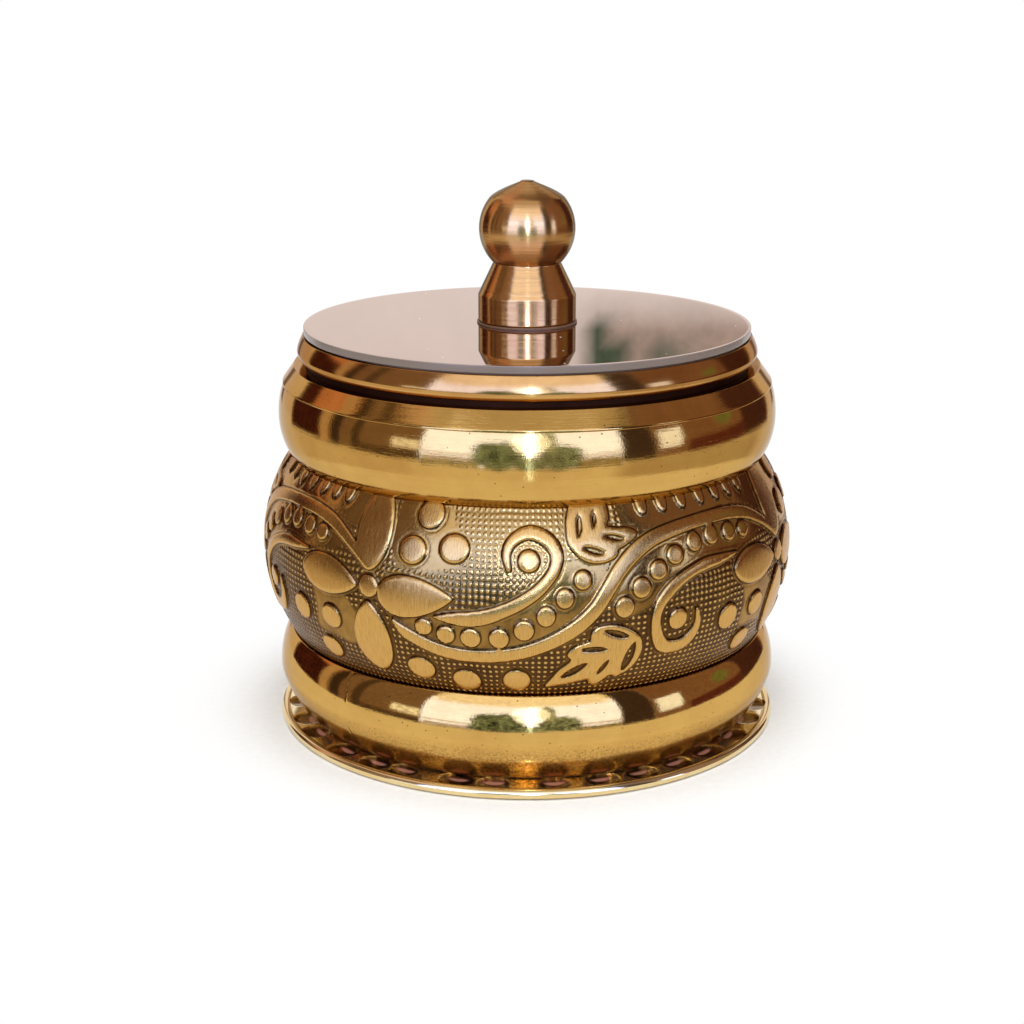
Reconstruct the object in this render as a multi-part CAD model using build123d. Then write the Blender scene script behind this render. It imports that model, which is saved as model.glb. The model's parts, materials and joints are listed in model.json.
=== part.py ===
from build123d import *
import os
from math import asin, degrees, hypot, sqrt

# Kumkum box: a small round brass box for vermilion powder, with a mirror-topped lid that lifts off by a
# turned knob. Millimetres, +Z up, origin on the ground at the centre of the foot.

# Cup: a plain spun cup, whose neck shows as the dark line under the lid
cup_radius = 31.0
cup_wall = 1.0
cup_floor = 1.0
cup_corner = 1.2
neck_height = 0.91

# Foot: a flat round plate, with a ring of hammered dimples and a rounded rim that stands proud of it
foot_overhang = 0.2
foot_thickness = 1.15
foot_rim_proud = 0.25
dimple_count = 32
dimple_width = 3.9
dimple_depth = 0.35
dimple_offset = 0.9

# Beads: two hollow half-round rings of sheet, soldered round the cup below and above the embossed band.
# Each stands out from the cup by its width, and is widest at a height that parts it into below and above.
bead_sheet = 0.9
lower_bead_width = 4.65
lower_bead_below = 6.85
lower_bead_above = 5.8
lower_bead_land = 0.75
upper_bead_width = 3.92
upper_bead_below = 5.35
upper_bead_above = 4.4

# Shoulder: a fine crease ends the upper bead's round side, and a cone rises from it to a flat land
crease_inset = 0.77
crease_step = 0.15
shoulder_height = 2.49
shoulder_land = 1.58

# Embossed band: a barrel of thin sheet, whose side is an arc of a circle
band_width = 6.55
band_below = 12.1
band_above = 13.1
band_side_arc = 22.0
band_sheet = 0.8

# Lid: a turned shell, with a collar underneath that drops into the cup
lid_overhang = 1.15
lid_height = 3.15
lid_lip_height = 0.95
lid_lip_round = 0.22
lid_side_bulge = 0.28
lid_side_draw = 0.85
lid_sheet = 1.0
collar_sheet = 0.8
collar_depth = 4.7

# Mirror: a thin disc of silvered glass, cemented on the lid
mirror_inset = 0.14
mirror_thickness = 1.0
mirror_edge_chamfer = 0.12
cement_inset = 0.56
cement_thickness = 0.2

# Knob: turned from bar, and held from inside the lid by a screw
knob_drum_radius = 6.85
knob_drum_height = 3.75
knob_drum_edge = 0.2
knob_neck_radius = 4.75
knob_cone_height = 4.35
knob_ball_radius = 6.7
knob_tip_cone_radius = 4.9
knob_tip_cone_height = 1.8
knob_nib_radius = 1.0
knob_nib_height = 0.15
knob_washer_overhang = 0.15
knob_washer_thickness = 0.3
screw_radius = 2.0
screw_length = 10.0
screw_head_radius = 4.0
screw_head_height = 2.4
screw_head_round = 0.9
screw_slot_width = 1.0
screw_slot_depth = 1.1
screw_washer_radius = 4.5
screw_washer_thickness = 0.8
tapped_hole_spare = 0.6

# Clearances
solder_gap = 0.05
lid_seat_gap = 0.05
collar_gap = 0.3
screw_hole_gap = 0.25
thread_gap = 0.05

# Radii that follow from the sizes above
bead_inner_radius = cup_radius + solder_gap
lower_bead_radius = bead_inner_radius + lower_bead_width
lower_bead_land_radius = bead_inner_radius + lower_bead_land
dimple_ring_radius = lower_bead_land_radius + dimple_offset
foot_radius = bead_inner_radius + (lower_bead_width + foot_overhang)
band_radius = bead_inner_radius + band_width
upper_bead_radius = bead_inner_radius + upper_bead_width
crease_radius = upper_bead_radius - crease_inset
shoulder_top_radius = bead_inner_radius + shoulder_land
lid_lip_radius = cup_radius + lid_overhang
lid_top_radius = lid_lip_radius - lid_side_draw
collar_radius = cup_radius - cup_wall - collar_gap
mirror_radius = lid_top_radius - mirror_inset
cement_radius = mirror_radius - cement_inset
knob_washer_radius = knob_drum_radius + knob_washer_overhang
screw_hole_radius = screw_radius + screw_hole_gap

# Heights that follow, from the ground up
lower_bead_middle = foot_thickness + lower_bead_below
band_bottom = lower_bead_middle + lower_bead_above
band_middle = band_bottom + band_below
band_top = band_middle + band_above
upper_bead_middle = band_top + upper_bead_below
crease_height = upper_bead_middle + upper_bead_above
shoulder_top_height = crease_height + shoulder_height
cup_rim_height = shoulder_top_height + neck_height
lid_bottom = cup_rim_height + lid_seat_gap
lid_top_height = lid_bottom + lid_height
lid_underside = lid_top_height - lid_sheet
collar_bottom = cup_rim_height - collar_depth
screw_seat = lid_underside - screw_washer_thickness
screw_tip = screw_seat + screw_length
mirror_bottom = lid_top_height + cement_thickness
mirror_top = mirror_bottom + mirror_thickness
knob_bottom = mirror_top + knob_washer_thickness

on_base = (Align.CENTER, Align.CENTER, Align.MIN)


def turned(draw_outline):
    """The solid turned about Z from a closed outline, drawn with X as the radius and Y as the height."""
    with BuildPart() as solid:
        with BuildSketch(Plane.XZ):
            with BuildLine():
                draw_outline()
            make_face()
        revolve(axis=Axis.Z)
    return solid.part


def ring(outer_radius, inner_radius, bottom, height):
    """A flat ring or a short tube, standing at the height bottom."""
    with BuildPart() as solid:
        with Locations((0, 0, bottom)):
            Cylinder(outer_radius, height, align=on_base)
            Cylinder(inner_radius, height, align=on_base, mode=Mode.SUBTRACT)
    return solid.part


def band_side(height):
    """The embossed band's outer radius at a height."""
    return band_radius - band_side_arc + sqrt(band_side_arc**2 - (height - band_middle) ** 2)


def half_height_through(reach, rise, half_width):
    """The half-height of an upright ellipse that passes through the point at reach across and rise up."""
    return rise / sqrt(1 - (reach / half_width) ** 2)


class BeadSide:
    """The round side of a bead: two quarter ellipses about a centre on the cup's wall."""

    def __init__(self, radius, middle, low, high, inset=0):
        """low and high are the (radius, height) where the side ends; inset is how far this side lies inside."""
        width = radius - bead_inner_radius
        below = half_height_through(low[0] - bead_inner_radius, middle - low[1], width)
        above = half_height_through(high[0] - bead_inner_radius, high[1] - middle, width)
        self.centre = (bead_inner_radius, middle)
        self.width = width - inset
        self.below = below - inset
        self.above = above - inset

    def point(self, height):
        """The point of the side at a height."""
        rise = height - self.centre[1]
        half_height = self.above if rise > 0 else self.below
        return (self.centre[0] + self.width * sqrt(1 - (rise / half_height) ** 2), height)

    def draw(self, low_height, high_height):
        """Draw the side between two heights. Outside this range of the ellipse it ends on the centre line."""
        low_angle = degrees(asin(max(-1, (low_height - self.centre[1]) / self.below)))
        high_angle = degrees(asin((high_height - self.centre[1]) / self.above))
        EllipticalCenterArc(self.centre, self.width, self.below, start_angle=low_angle, arc_size=-low_angle)
        EllipticalCenterArc(self.centre, self.width, self.above, start_angle=0, arc_size=high_angle)


def foot_plate():
    """The plate under the box, with a rounded rim and a ring of shallow round dimples beside the bead."""
    rim = (foot_thickness + foot_rim_proud) / 2
    rim_centre = foot_radius - rim
    flange_end = rim_centre - sqrt(rim**2 - (foot_thickness - rim) ** 2)

    def outline():
        Line((0, 0), (rim_centre, 0))
        ThreePointArc((rim_centre, 0), (foot_radius, rim), (flange_end, foot_thickness))
        Polyline((flange_end, foot_thickness), (0, foot_thickness), (0, 0))

    dimple_ball = ((dimple_width / 2) ** 2 + dimple_depth**2) / (2 * dimple_depth)
    with BuildPart() as plate:
        add(turned(outline))
        with Locations((0, 0, foot_thickness + dimple_ball - dimple_depth)):
            with PolarLocations(dimple_ring_radius, dimple_count):
                Sphere(dimple_ball, mode=Mode.SUBTRACT)
    return plate.part


def inner_cup():
    """The cup that holds the powder, standing on the foot plate."""
    bore = cup_radius - cup_wall
    floor_top = foot_thickness + cup_floor
    corner_middle = cup_corner * (1 - sqrt(0.5))

    def outline():
        Line((0, foot_thickness), (cup_radius, foot_thickness))
        Line((cup_radius, foot_thickness), (cup_radius, cup_rim_height))
        Line((cup_radius, cup_rim_height), (bore, cup_rim_height))
        Line((bore, cup_rim_height), (bore, floor_top + cup_corner))
        ThreePointArc(
            (bore, floor_top + cup_corner),
            (bore - corner_middle, floor_top + corner_middle),
            (bore - cup_corner, floor_top),
        )
        Polyline((bore - cup_corner, floor_top), (0, floor_top), (0, foot_thickness))

    return turned(outline)


def lower_bead():
    """The bead between the foot and the band, with a flat ledge on top that the band stands on."""
    land_end = (lower_bead_land_radius, foot_thickness)
    ledge_end = (band_side(band_bottom), band_bottom)
    outside = BeadSide(lower_bead_radius, lower_bead_middle, land_end, ledge_end)
    inside = BeadSide(lower_bead_radius, lower_bead_middle, land_end, ledge_end, bead_sheet)
    inside_bottom = (bead_inner_radius, lower_bead_middle - inside.below)
    inside_top = inside.point(band_bottom - bead_sheet)

    def outline():
        Line((bead_inner_radius, foot_thickness), land_end)
        outside.draw(foot_thickness, band_bottom)
        Polyline(
            ledge_end,
            (bead_inner_radius, band_bottom),
            (bead_inner_radius, band_bottom - bead_sheet),
            inside_top,
        )
        inside.draw(inside_bottom[1], inside_top[1])
        Line(inside_bottom, (bead_inner_radius, foot_thickness))

    return turned(outline)


def embossed_band():
    """The barrel between the beads. Its outer side is as high as the embossed figures."""
    inner_arc = band_side_arc - band_sheet

    def inner_side(height):
        return band_radius - band_side_arc + sqrt(inner_arc**2 - (height - band_middle) ** 2)

    def outline():
        ThreePointArc(
            (band_side(band_bottom), band_bottom),
            (band_radius, band_middle),
            (band_side(band_top), band_top),
        )
        Line((band_side(band_top), band_top), (inner_side(band_top), band_top))
        ThreePointArc(
            (inner_side(band_top), band_top),
            (band_radius - band_sheet, band_middle),
            (inner_side(band_bottom), band_bottom),
        )
        Line((inner_side(band_bottom), band_bottom), (band_side(band_bottom), band_bottom))

    return turned(outline)


def upper_bead():
    """The bead above the band, with a fine crease and a sloping shoulder that ends just under the lid."""
    ledge_end = (band_side(band_top), band_top)
    crease = (crease_radius, crease_height)
    cone_foot = (crease_radius - crease_step, crease_height + crease_step)
    cone_top = (shoulder_top_radius, shoulder_top_height)
    run = cone_foot[0] - cone_top[0]
    rise = cone_top[1] - cone_foot[1]
    inside_cone_top = shoulder_top_radius + bead_sheet * (run - hypot(run, rise)) / rise
    outside = BeadSide(upper_bead_radius, upper_bead_middle, ledge_end, crease)
    inside = BeadSide(upper_bead_radius, upper_bead_middle, ledge_end, crease, bead_sheet)
    inside_low = inside.point(band_top + bead_sheet)
    inside_high = inside.point(crease_height - bead_sheet / 2)

    def outline():
        Line((bead_inner_radius, band_top), ledge_end)
        outside.draw(band_top, crease_height)
        Polyline(
            crease,
            cone_foot,
            cone_top,
            (bead_inner_radius, shoulder_top_height),
            (bead_inner_radius, shoulder_top_height - bead_sheet),
            (inside_cone_top, shoulder_top_height - bead_sheet),
            inside_high,
        )
        inside.draw(inside_low[1], inside_high[1])
        Polyline(inside_low, (bead_inner_radius, band_top + bead_sheet), (bead_inner_radius, band_top))

    return turned(outline)


def lid_shell():
    """The lid, with a thin rounded lip, a bulging side and a recess underneath for its collar."""
    recess = collar_radius + solder_gap
    lip_end = lid_lip_radius - lid_lip_round
    lip_top = lid_bottom + lid_lip_height
    side_middle = (lip_end + lid_top_radius) / 2 + lid_side_bulge

    def outline():
        Polyline(
            (screw_hole_radius, lid_underside),
            (recess, lid_underside),
            (recess, lid_bottom),
            (lip_end, lid_bottom),
        )
        ThreePointArc(
            (lip_end, lid_bottom),
            (lid_lip_radius, lid_bottom + lid_lip_height / 2),
            (lip_end, lip_top),
        )
        ThreePointArc(
            (lip_end, lip_top),
            (side_middle, (lip_top + lid_top_height) / 2),
            (lid_top_radius, lid_top_height),
        )
        Polyline(
            (lid_top_radius, lid_top_height),
            (screw_hole_radius, lid_top_height),
            (screw_hole_radius, lid_underside),
        )

    return turned(outline)


def lid_collar():
    """The ring under the lid that drops into the cup and keeps the lid in place."""
    return ring(collar_radius, collar_radius - collar_sheet, collar_bottom, lid_underside - collar_bottom)


def mirror_cement():
    """The thin disc of cement between the lid and the mirror."""
    return ring(cement_radius, screw_hole_radius, lid_top_height, cement_thickness)


def mirror_glass():
    """The mirror on the lid, with its sharp edges ground off and a hole for the knob's screw."""
    face_radius = mirror_radius - mirror_edge_chamfer

    def outline():
        Polyline(
            (screw_hole_radius, mirror_bottom),
            (face_radius, mirror_bottom),
            (mirror_radius, mirror_bottom + mirror_edge_chamfer),
            (mirror_radius, mirror_top - mirror_edge_chamfer),
            (face_radius, mirror_top),
            (screw_hole_radius, mirror_top),
            (screw_hole_radius, mirror_bottom),
        )

    return turned(outline)


def knob_washer():
    """The clear soft washer between the knob and the mirror."""
    return ring(knob_washer_radius, screw_hole_radius, mirror_top, knob_washer_thickness)


def knob():
    """The turned knob: a drum, a cone up to a sharp neck, and a ball with a low conical tip and a nib."""
    hole = screw_radius + thread_gap
    hole_end = screw_tip + tapped_hole_spare
    drum_top = knob_bottom + knob_drum_height
    neck = drum_top + knob_cone_height
    ball_centre = neck + sqrt(knob_ball_radius**2 - knob_neck_radius**2)
    tip_cone_foot = ball_centre + sqrt(knob_ball_radius**2 - knob_tip_cone_radius**2)
    tip_cone_top = tip_cone_foot + knob_tip_cone_height
    knob_top = tip_cone_top + knob_nib_height

    def outline():
        Polyline(
            (0, hole_end),
            (hole, hole_end),
            (hole, knob_bottom),
            (knob_drum_radius - knob_drum_edge, knob_bottom),
            (knob_drum_radius, knob_bottom + knob_drum_edge),
            (knob_drum_radius, drum_top),
            (knob_neck_radius, neck),
        )
        ThreePointArc(
            (knob_neck_radius, neck), (knob_ball_radius, ball_centre), (knob_tip_cone_radius, tip_cone_foot)
        )
        Polyline(
            (knob_tip_cone_radius, tip_cone_foot),
            (knob_nib_radius, tip_cone_top),
            (knob_nib_radius - knob_nib_height, knob_top),
            (0, knob_top),
            (0, hole_end),
        )

    return turned(outline)


def knob_screw():
    """The screw that holds the knob, driven up from inside the lid, with a slot across its head."""
    head_bottom = screw_seat - screw_head_height
    with BuildPart() as screw:
        with Locations((0, 0, head_bottom)):
            Cylinder(screw_head_radius, screw_head_height, align=on_base)
        fillet(screw.edges().group_by(Axis.Z)[0], screw_head_round)
        with Locations((0, 0, screw_seat)):
            Cylinder(screw_radius, screw_length, align=on_base)
        with Locations((0, 0, head_bottom)):
            Box(2 * screw_head_radius, screw_slot_width, screw_slot_depth, align=on_base, mode=Mode.SUBTRACT)
    return screw.part


def screw_washer():
    """The flat washer under the screw's head."""
    return ring(screw_washer_radius, screw_hole_radius, screw_seat, screw_washer_thickness)


PARTS = [
    foot_plate,
    inner_cup,
    lower_bead,
    embossed_band,
    upper_bead,
    lid_shell,
    lid_collar,
    mirror_cement,
    mirror_glass,
    knob_washer,
    knob,
    knob_screw,
    screw_washer,
]

os.makedirs("parts", exist_ok=True)
for make in PARTS:
    export_step(make(), f"parts/{make.__name__}.step")
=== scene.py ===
import json
from math import asin, cos, pi, radians, sin

import bpy
import numpy as np
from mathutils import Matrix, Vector

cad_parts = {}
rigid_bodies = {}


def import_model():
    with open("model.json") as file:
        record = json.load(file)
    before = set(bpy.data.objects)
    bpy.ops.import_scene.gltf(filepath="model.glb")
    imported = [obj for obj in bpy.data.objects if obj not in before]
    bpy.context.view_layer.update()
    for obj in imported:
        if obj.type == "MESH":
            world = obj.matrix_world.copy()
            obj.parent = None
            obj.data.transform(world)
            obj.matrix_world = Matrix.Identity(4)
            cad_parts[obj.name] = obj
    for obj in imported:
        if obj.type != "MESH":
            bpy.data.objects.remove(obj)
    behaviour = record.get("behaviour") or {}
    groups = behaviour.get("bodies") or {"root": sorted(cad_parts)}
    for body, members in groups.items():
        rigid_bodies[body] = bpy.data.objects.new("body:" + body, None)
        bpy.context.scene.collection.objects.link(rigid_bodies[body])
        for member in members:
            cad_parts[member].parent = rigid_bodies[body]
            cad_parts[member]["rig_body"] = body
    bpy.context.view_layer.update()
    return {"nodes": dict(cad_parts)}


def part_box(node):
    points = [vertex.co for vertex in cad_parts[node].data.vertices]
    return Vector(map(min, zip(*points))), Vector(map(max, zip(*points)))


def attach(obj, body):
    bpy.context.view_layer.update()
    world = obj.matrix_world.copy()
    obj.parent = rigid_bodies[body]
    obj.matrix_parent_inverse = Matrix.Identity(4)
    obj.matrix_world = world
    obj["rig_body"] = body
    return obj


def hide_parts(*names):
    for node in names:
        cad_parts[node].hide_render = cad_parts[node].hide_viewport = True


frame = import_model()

# Looks of a small brass kumkum box with a mirror on its lid. Sizes are millimetres until a mesh is written,
# heights are above the ground, and an angle round the box is 0 in front and grows towards the right.

MM = 0.001


class Extent:
    """Where a CAD node lies, in millimetres: its outer radius, its bottom and its top."""

    def __init__(self, node):
        low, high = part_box(node)
        self.radius = high.x / MM
        self.bottom = low.z / MM
        self.top = high.z / MM


foot = Extent("foot_plate")
cup = Extent("inner_cup")
lower_bead = Extent("lower_bead")
band = Extent("embossed_band")
upper_bead = Extent("upper_bead")
lid = Extent("lid_shell")
collar = Extent("lid_collar")
cement = Extent("mirror_cement")
mirror = Extent("mirror_glass")
washer = Extent("knob_washer")
knob = Extent("knob")

DOTS_ROUND = 288
DOT_PITCH = 2 * pi * band.radius / DOTS_ROUND

# Sizes that the frame's boxes don't give. BELOW is the height from a part's bottom to its widest place, and
# ABOVE from there up to the crease. The crease's ledge and the shoulder's foot are steps out and up from it.
CUP_WALL = 1.0
CUP_CORNER = 1.2
LOWER_BEAD_PINCH = 1.38
LOWER_BEAD_BELOW = 6.85
UPPER_BEAD_BELOW = 5.35
UPPER_BEAD_ABOVE = 4.4
CREASE_INSET = 0.77
CREASE_STEP = 0.15
CREASE_LEDGE = (0.08, 0.01)
SHOULDER_FOOT = (0.06, 0.09)
SHOULDER_LAND = 1.58
SOLDER_GAP = 0.05
BAND_BELOW = 12.1
BAND_ARC = 22.0
BAND_SHEET = 0.8
LID_SHEET = 1.0
LID_ROLL_HEIGHT = 1.0
LID_ROLL_WIDTH = 1.0
LID_SIDE_DRAW = 0.85
LID_SIDE_POWER = 1.45
COLLAR_SHEET = 0.8
KNOB_DRUM_HEIGHT = 3.75
KNOB_NECK_RADIUS = 4.75
KNOB_CONE_HEIGHT = 4.35
KNOB_DRUM_RADIUS = 6.85
KNOB_DRUM_BEVEL = 0.2
KNOB_BALL_RADIUS = 6.7
KNOB_NIB_RADIUS = 1.0
KNOB_NIB_HEIGHT = 0.15
SCREW_HOLE = 2.25
CEMENT_SQUEEZE = 0.22

# Pinholes: the size of the cells that may hold one, and the share that do at the lower bead's foot, which the
# polishing wheel didn't reach. It is all worn up to the first height above its bottom, and not from the second.
PIT_CELL = 0.35
WORN_SHARE = 0.6
WORN_TO = (3.0, 6.5)

SKIN = "skin"


# Shapes


def arc(centre, radii, start, end, steps=40):
    """Points on an ellipse: the centre plus the radii times (cosine, sine) of an angle that runs evenly."""
    angle = np.radians(np.linspace(start, end, steps + 1))
    return np.column_stack([centre[0] + radii[0] * np.cos(angle), centre[1] + radii[1] * np.sin(angle)])


def eased(start, corner, end, steps=16):
    """A corner rounded from start to end: the quadratic curve that leaves and arrives along its two sides."""
    share = np.linspace(0, 1, steps + 1)[:, None]
    start, corner, end = np.array(start), np.array(corner), np.array(end)
    return (1 - share) ** 2 * start + 2 * share * (1 - share) * corner + share**2 * end


def turning(points):
    """How far a line turns at each of its points, in radians."""
    way = np.diff(points, axis=0)
    heading = np.unwrap(np.arctan2(way[:, 1], way[:, 0]))
    return np.concatenate([[0], np.abs(np.diff(heading)), [0]])


def profile(*parts, edge=0.1, step=0.8, bend=7.0, ring=True):
    """One outline from its parts, with its corners rounded by about edge and its points where they are needed.

    The line is cut into equal short pieces, and each point is moved to the mean of its neighbours within edge,
    which rounds the corners and leaves the rest. Points are then picked so that each span holds an equal sum of
    its length over step and its turning over bend degrees."""
    line = np.vstack([np.atleast_2d(part) for part in parts])
    if ring:
        line = np.vstack([line, line[:1]])
    fine = edge / 6
    length = np.concatenate([[0], np.cumsum(np.hypot(*np.diff(line, axis=0).T))])
    count = int(length[-1] / fine)
    even = np.linspace(0, length[-1], count + 1)
    line = np.column_stack([np.interp(even, length, line[:, axis]) for axis in (0, 1)])
    reach = 6
    if ring:
        padded = np.vstack([line[-reach - 1:-1], line, line[1:reach + 1]])
    else:
        padded = np.vstack([2 * line[0] - line[reach:0:-1], line, 2 * line[-1] - line[-2:-reach - 2:-1]])
    window = np.ones(2 * reach + 1) / (2 * reach + 1)
    line = np.column_stack([np.convolve(padded[:, axis], window, "valid") for axis in (0, 1)])
    weight = turning(line) / radians(bend) + fine / step
    total = np.concatenate([[0], np.cumsum(weight[1:])])
    picked = np.linspace(0, total[-1], int(np.ceil(total[-1])) + 1)
    if ring:
        picked = picked[:-1]
    return np.column_stack([np.interp(picked, total, line[:, axis]) for axis in (0, 1)])


def outward(line, ring):
    """The unit normals of an outline that has its solid on its left."""
    if ring:
        way = np.roll(line, -1, axis=0) - np.roll(line, 1, axis=0)
    else:
        way = np.gradient(line, axis=0)
    way /= np.maximum(np.hypot(*way.T), 1e-9)[:, None]
    return np.column_stack([way[:, 1], -way[:, 0]])


def in_scene(name, data):
    """A new object at the origin, linked to the scene."""
    made = bpy.data.objects.new(name, data)
    bpy.context.scene.collection.objects.link(made)
    return made


def mark(mesh, name, values, kind="FLOAT", field="value"):
    """Store a number or a colour on each vertex, under a name that a material reads."""
    store = mesh.attributes.new(name, kind, "POINT").data
    store.foreach_set(field, values.astype(np.float32).ravel())


def grid_mesh(name, points, across, along, ring, poles=None):
    """A closed skin over a grid of points, whose columns run round the axis and join up.

    The rows join up too, or end in two poles. Each face is a square of four neighbours, in the order that faces
    outwards, and the map called skin holds across and along in millimetres."""
    rows, columns = points.shape[:2]
    index = np.arange(rows * columns).reshape(rows, columns)
    if ring:
        index = np.vstack([index, index[:1]])
    right = np.roll(index, -1, axis=1)
    faces = np.stack([index[:-1], right[:-1], right[1:], index[1:]], -1).reshape(-1, 4)
    row, column = np.indices((len(index) - 1, columns))
    map_column = np.stack([column, column + 1, column + 1, column], -1)
    map_row = np.stack([row, row, row + 1, row + 1], -1)
    skin = np.stack([across[map_column], along[map_row]], -1).reshape(-1, 2)
    vertices = points.reshape(-1, 3)
    faces = faces.tolist()
    if poles is not None:
        first = len(vertices)
        vertices = np.vstack([vertices, poles])
        middle = (across[:-1] + across[1:]) / 2
        fans = [
            (right[0], index[0], across[1:], across[:-1], along[0]),
            (index[-1], right[-1], across[:-1], across[1:], along[-1]),
        ]
        for pole, (one, other, one_side, other_side, depth) in enumerate(fans, first):
            faces += np.stack([np.full(columns, pole), one, other], -1).tolist()
            fan = np.stack([middle, one_side, other_side], -1)
            skin = np.vstack([skin, np.stack([fan, np.full(fan.shape, depth)], -1).reshape(-1, 2)])
    mesh = bpy.data.meshes.new(name)
    mesh.from_pydata((vertices * MM).tolist(), [], faces)
    mesh.uv_layers.new(name=SKIN).data.foreach_set("uv", skin.astype(np.float32).ravel())
    mesh.shade_smooth()
    mesh.update()
    return in_scene(name, mesh)


def hand_finish(angle, along, size=1.0):
    """The unevenness of hand polishing: the sum of a few long waves round the piece and along its outline."""
    lobes = 0.030 * np.sin(2 * angle + 0.6) + 0.018 * np.sin(3 * angle + 2.1)
    waves = 0.008 * np.sin(11 * angle + 1.3 + along / 3.1) + 0.006 * np.sin(19 * angle - along / 2.3)
    return size * (lobes + waves)


def flawless(angle, along):
    """No unevenness at all."""
    return 0 * angle * along


def turned(name, line, relief=hand_finish, columns=360, ring=True, extra=()):
    """The surface that an outline sweeps as it turns about the axis: radius times (sine, cosine) of the angle.

    relief(angle, along) moves each point along the outline's normal. extra lists further angles, where fine
    detail needs them. The map's first number is the way round at the outline's widest place."""
    edges = np.union1d(np.linspace(-pi, pi, columns + 1), np.array(extra, float))
    if not ring:
        poles = np.array([[0, 0, line[0, 1]], [0, 0, line[-1, 1]]])
        line = line[1:-1]
    along = np.concatenate([[0], np.cumsum(np.hypot(*np.diff(line, axis=0).T))])
    if ring:
        along = np.append(along, along[-1] + np.hypot(*(line[0] - line[-1])))
    normal = outward(line, ring)
    angle = edges[None, :-1]
    lift = relief(angle, along[:len(line), None]) * np.minimum(1, line[:, :1] / 3)
    radius = line[:, :1] + normal[:, :1] * lift
    height = line[:, 1:] + normal[:, 1:] * lift
    points = np.stack([radius * np.sin(angle), -radius * np.cos(angle), height + 0 * angle], -1)
    across = edges * line[:, 0].max()
    return grid_mesh(name, points, across, along, ring, None if ring else poles)


def half_height_through(reach, rise, half_width):
    """The half-height of an upright ellipse that passes through the point at reach across and rise up."""
    return rise / np.sqrt(1 - (reach / half_width) ** 2)


def bead_side(centre, width, low, high, pinch=1.0):
    """The round side of a bead, as two quarter ellipses about a centre, from its low to its high point.

    The lower quarter's cosine and sine are raised to the power pinch, which draws it in towards a cone."""
    below = half_height_through(low[0] - centre[0], centre[1] - low[1], width)
    above = half_height_through(high[0] - centre[0], high[1] - centre[1], width)
    low_angle = np.degrees(asin((low[1] - centre[1]) / below))
    high_angle = np.degrees(asin((high[1] - centre[1]) / above))
    quarter = arc((0, 0), (1, 1), low_angle, 0)
    quarter = np.sign(quarter) * np.abs(quarter) ** pinch * (width, below) + centre
    return np.vstack([quarter, arc(centre, (width, above), 0, high_angle)[1:]])


def band_side(height):
    """The radius of the embossed band's raised figures at a height."""
    return band.radius - BAND_ARC + np.sqrt(BAND_ARC**2 - (height - band.bottom - BAND_BELOW) ** 2)


# Materials


def colour(text):
    """A colour written as sRGB hex, turned to the linear values that a shader takes."""
    level = np.array([int(text[place:place + 2], 16) for place in (1, 3, 5)]) / 255
    linear = np.where(level <= 0.04045, level / 12.92, ((level + 0.055) / 1.055) ** 2.4)
    return (*linear, 1.0)


def add(tree, kind, inputs, stops=(), **settings):
    """Add one shader node with its settings, and return its outputs. A mix of colours gives it as output 2.

    Each input is a value or another node's output."""
    made = tree.nodes.new("ShaderNode" + kind)
    for name, value in settings.items():
        setattr(made, name, value)
    for name, value in inputs.items():
        if isinstance(value, bpy.types.NodeSocket):
            tree.links.new(value, made.inputs[name])
        else:
            made.inputs[name].default_value = value
    for place, (position, shade) in enumerate(stops):
        ramp = made.color_ramp.elements
        element = ramp[place] if place < 2 else ramp.new(position)
        element.position = position
        element.color = colour(shade)
    return made.outputs


def start_material(name):
    """An empty material, its node tree, and the place of each point in the object's own space."""
    made = bpy.data.materials.new(name)
    made.use_nodes = True
    made.node_tree.nodes.clear()
    return made, made.node_tree, add(made.node_tree, "TexCoord", {})["Object"]


def end_material(made, shader):
    """Lead a shader to the material's output."""
    add(made.node_tree, "OutputMaterial", {"Surface": shader})
    return made


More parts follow.
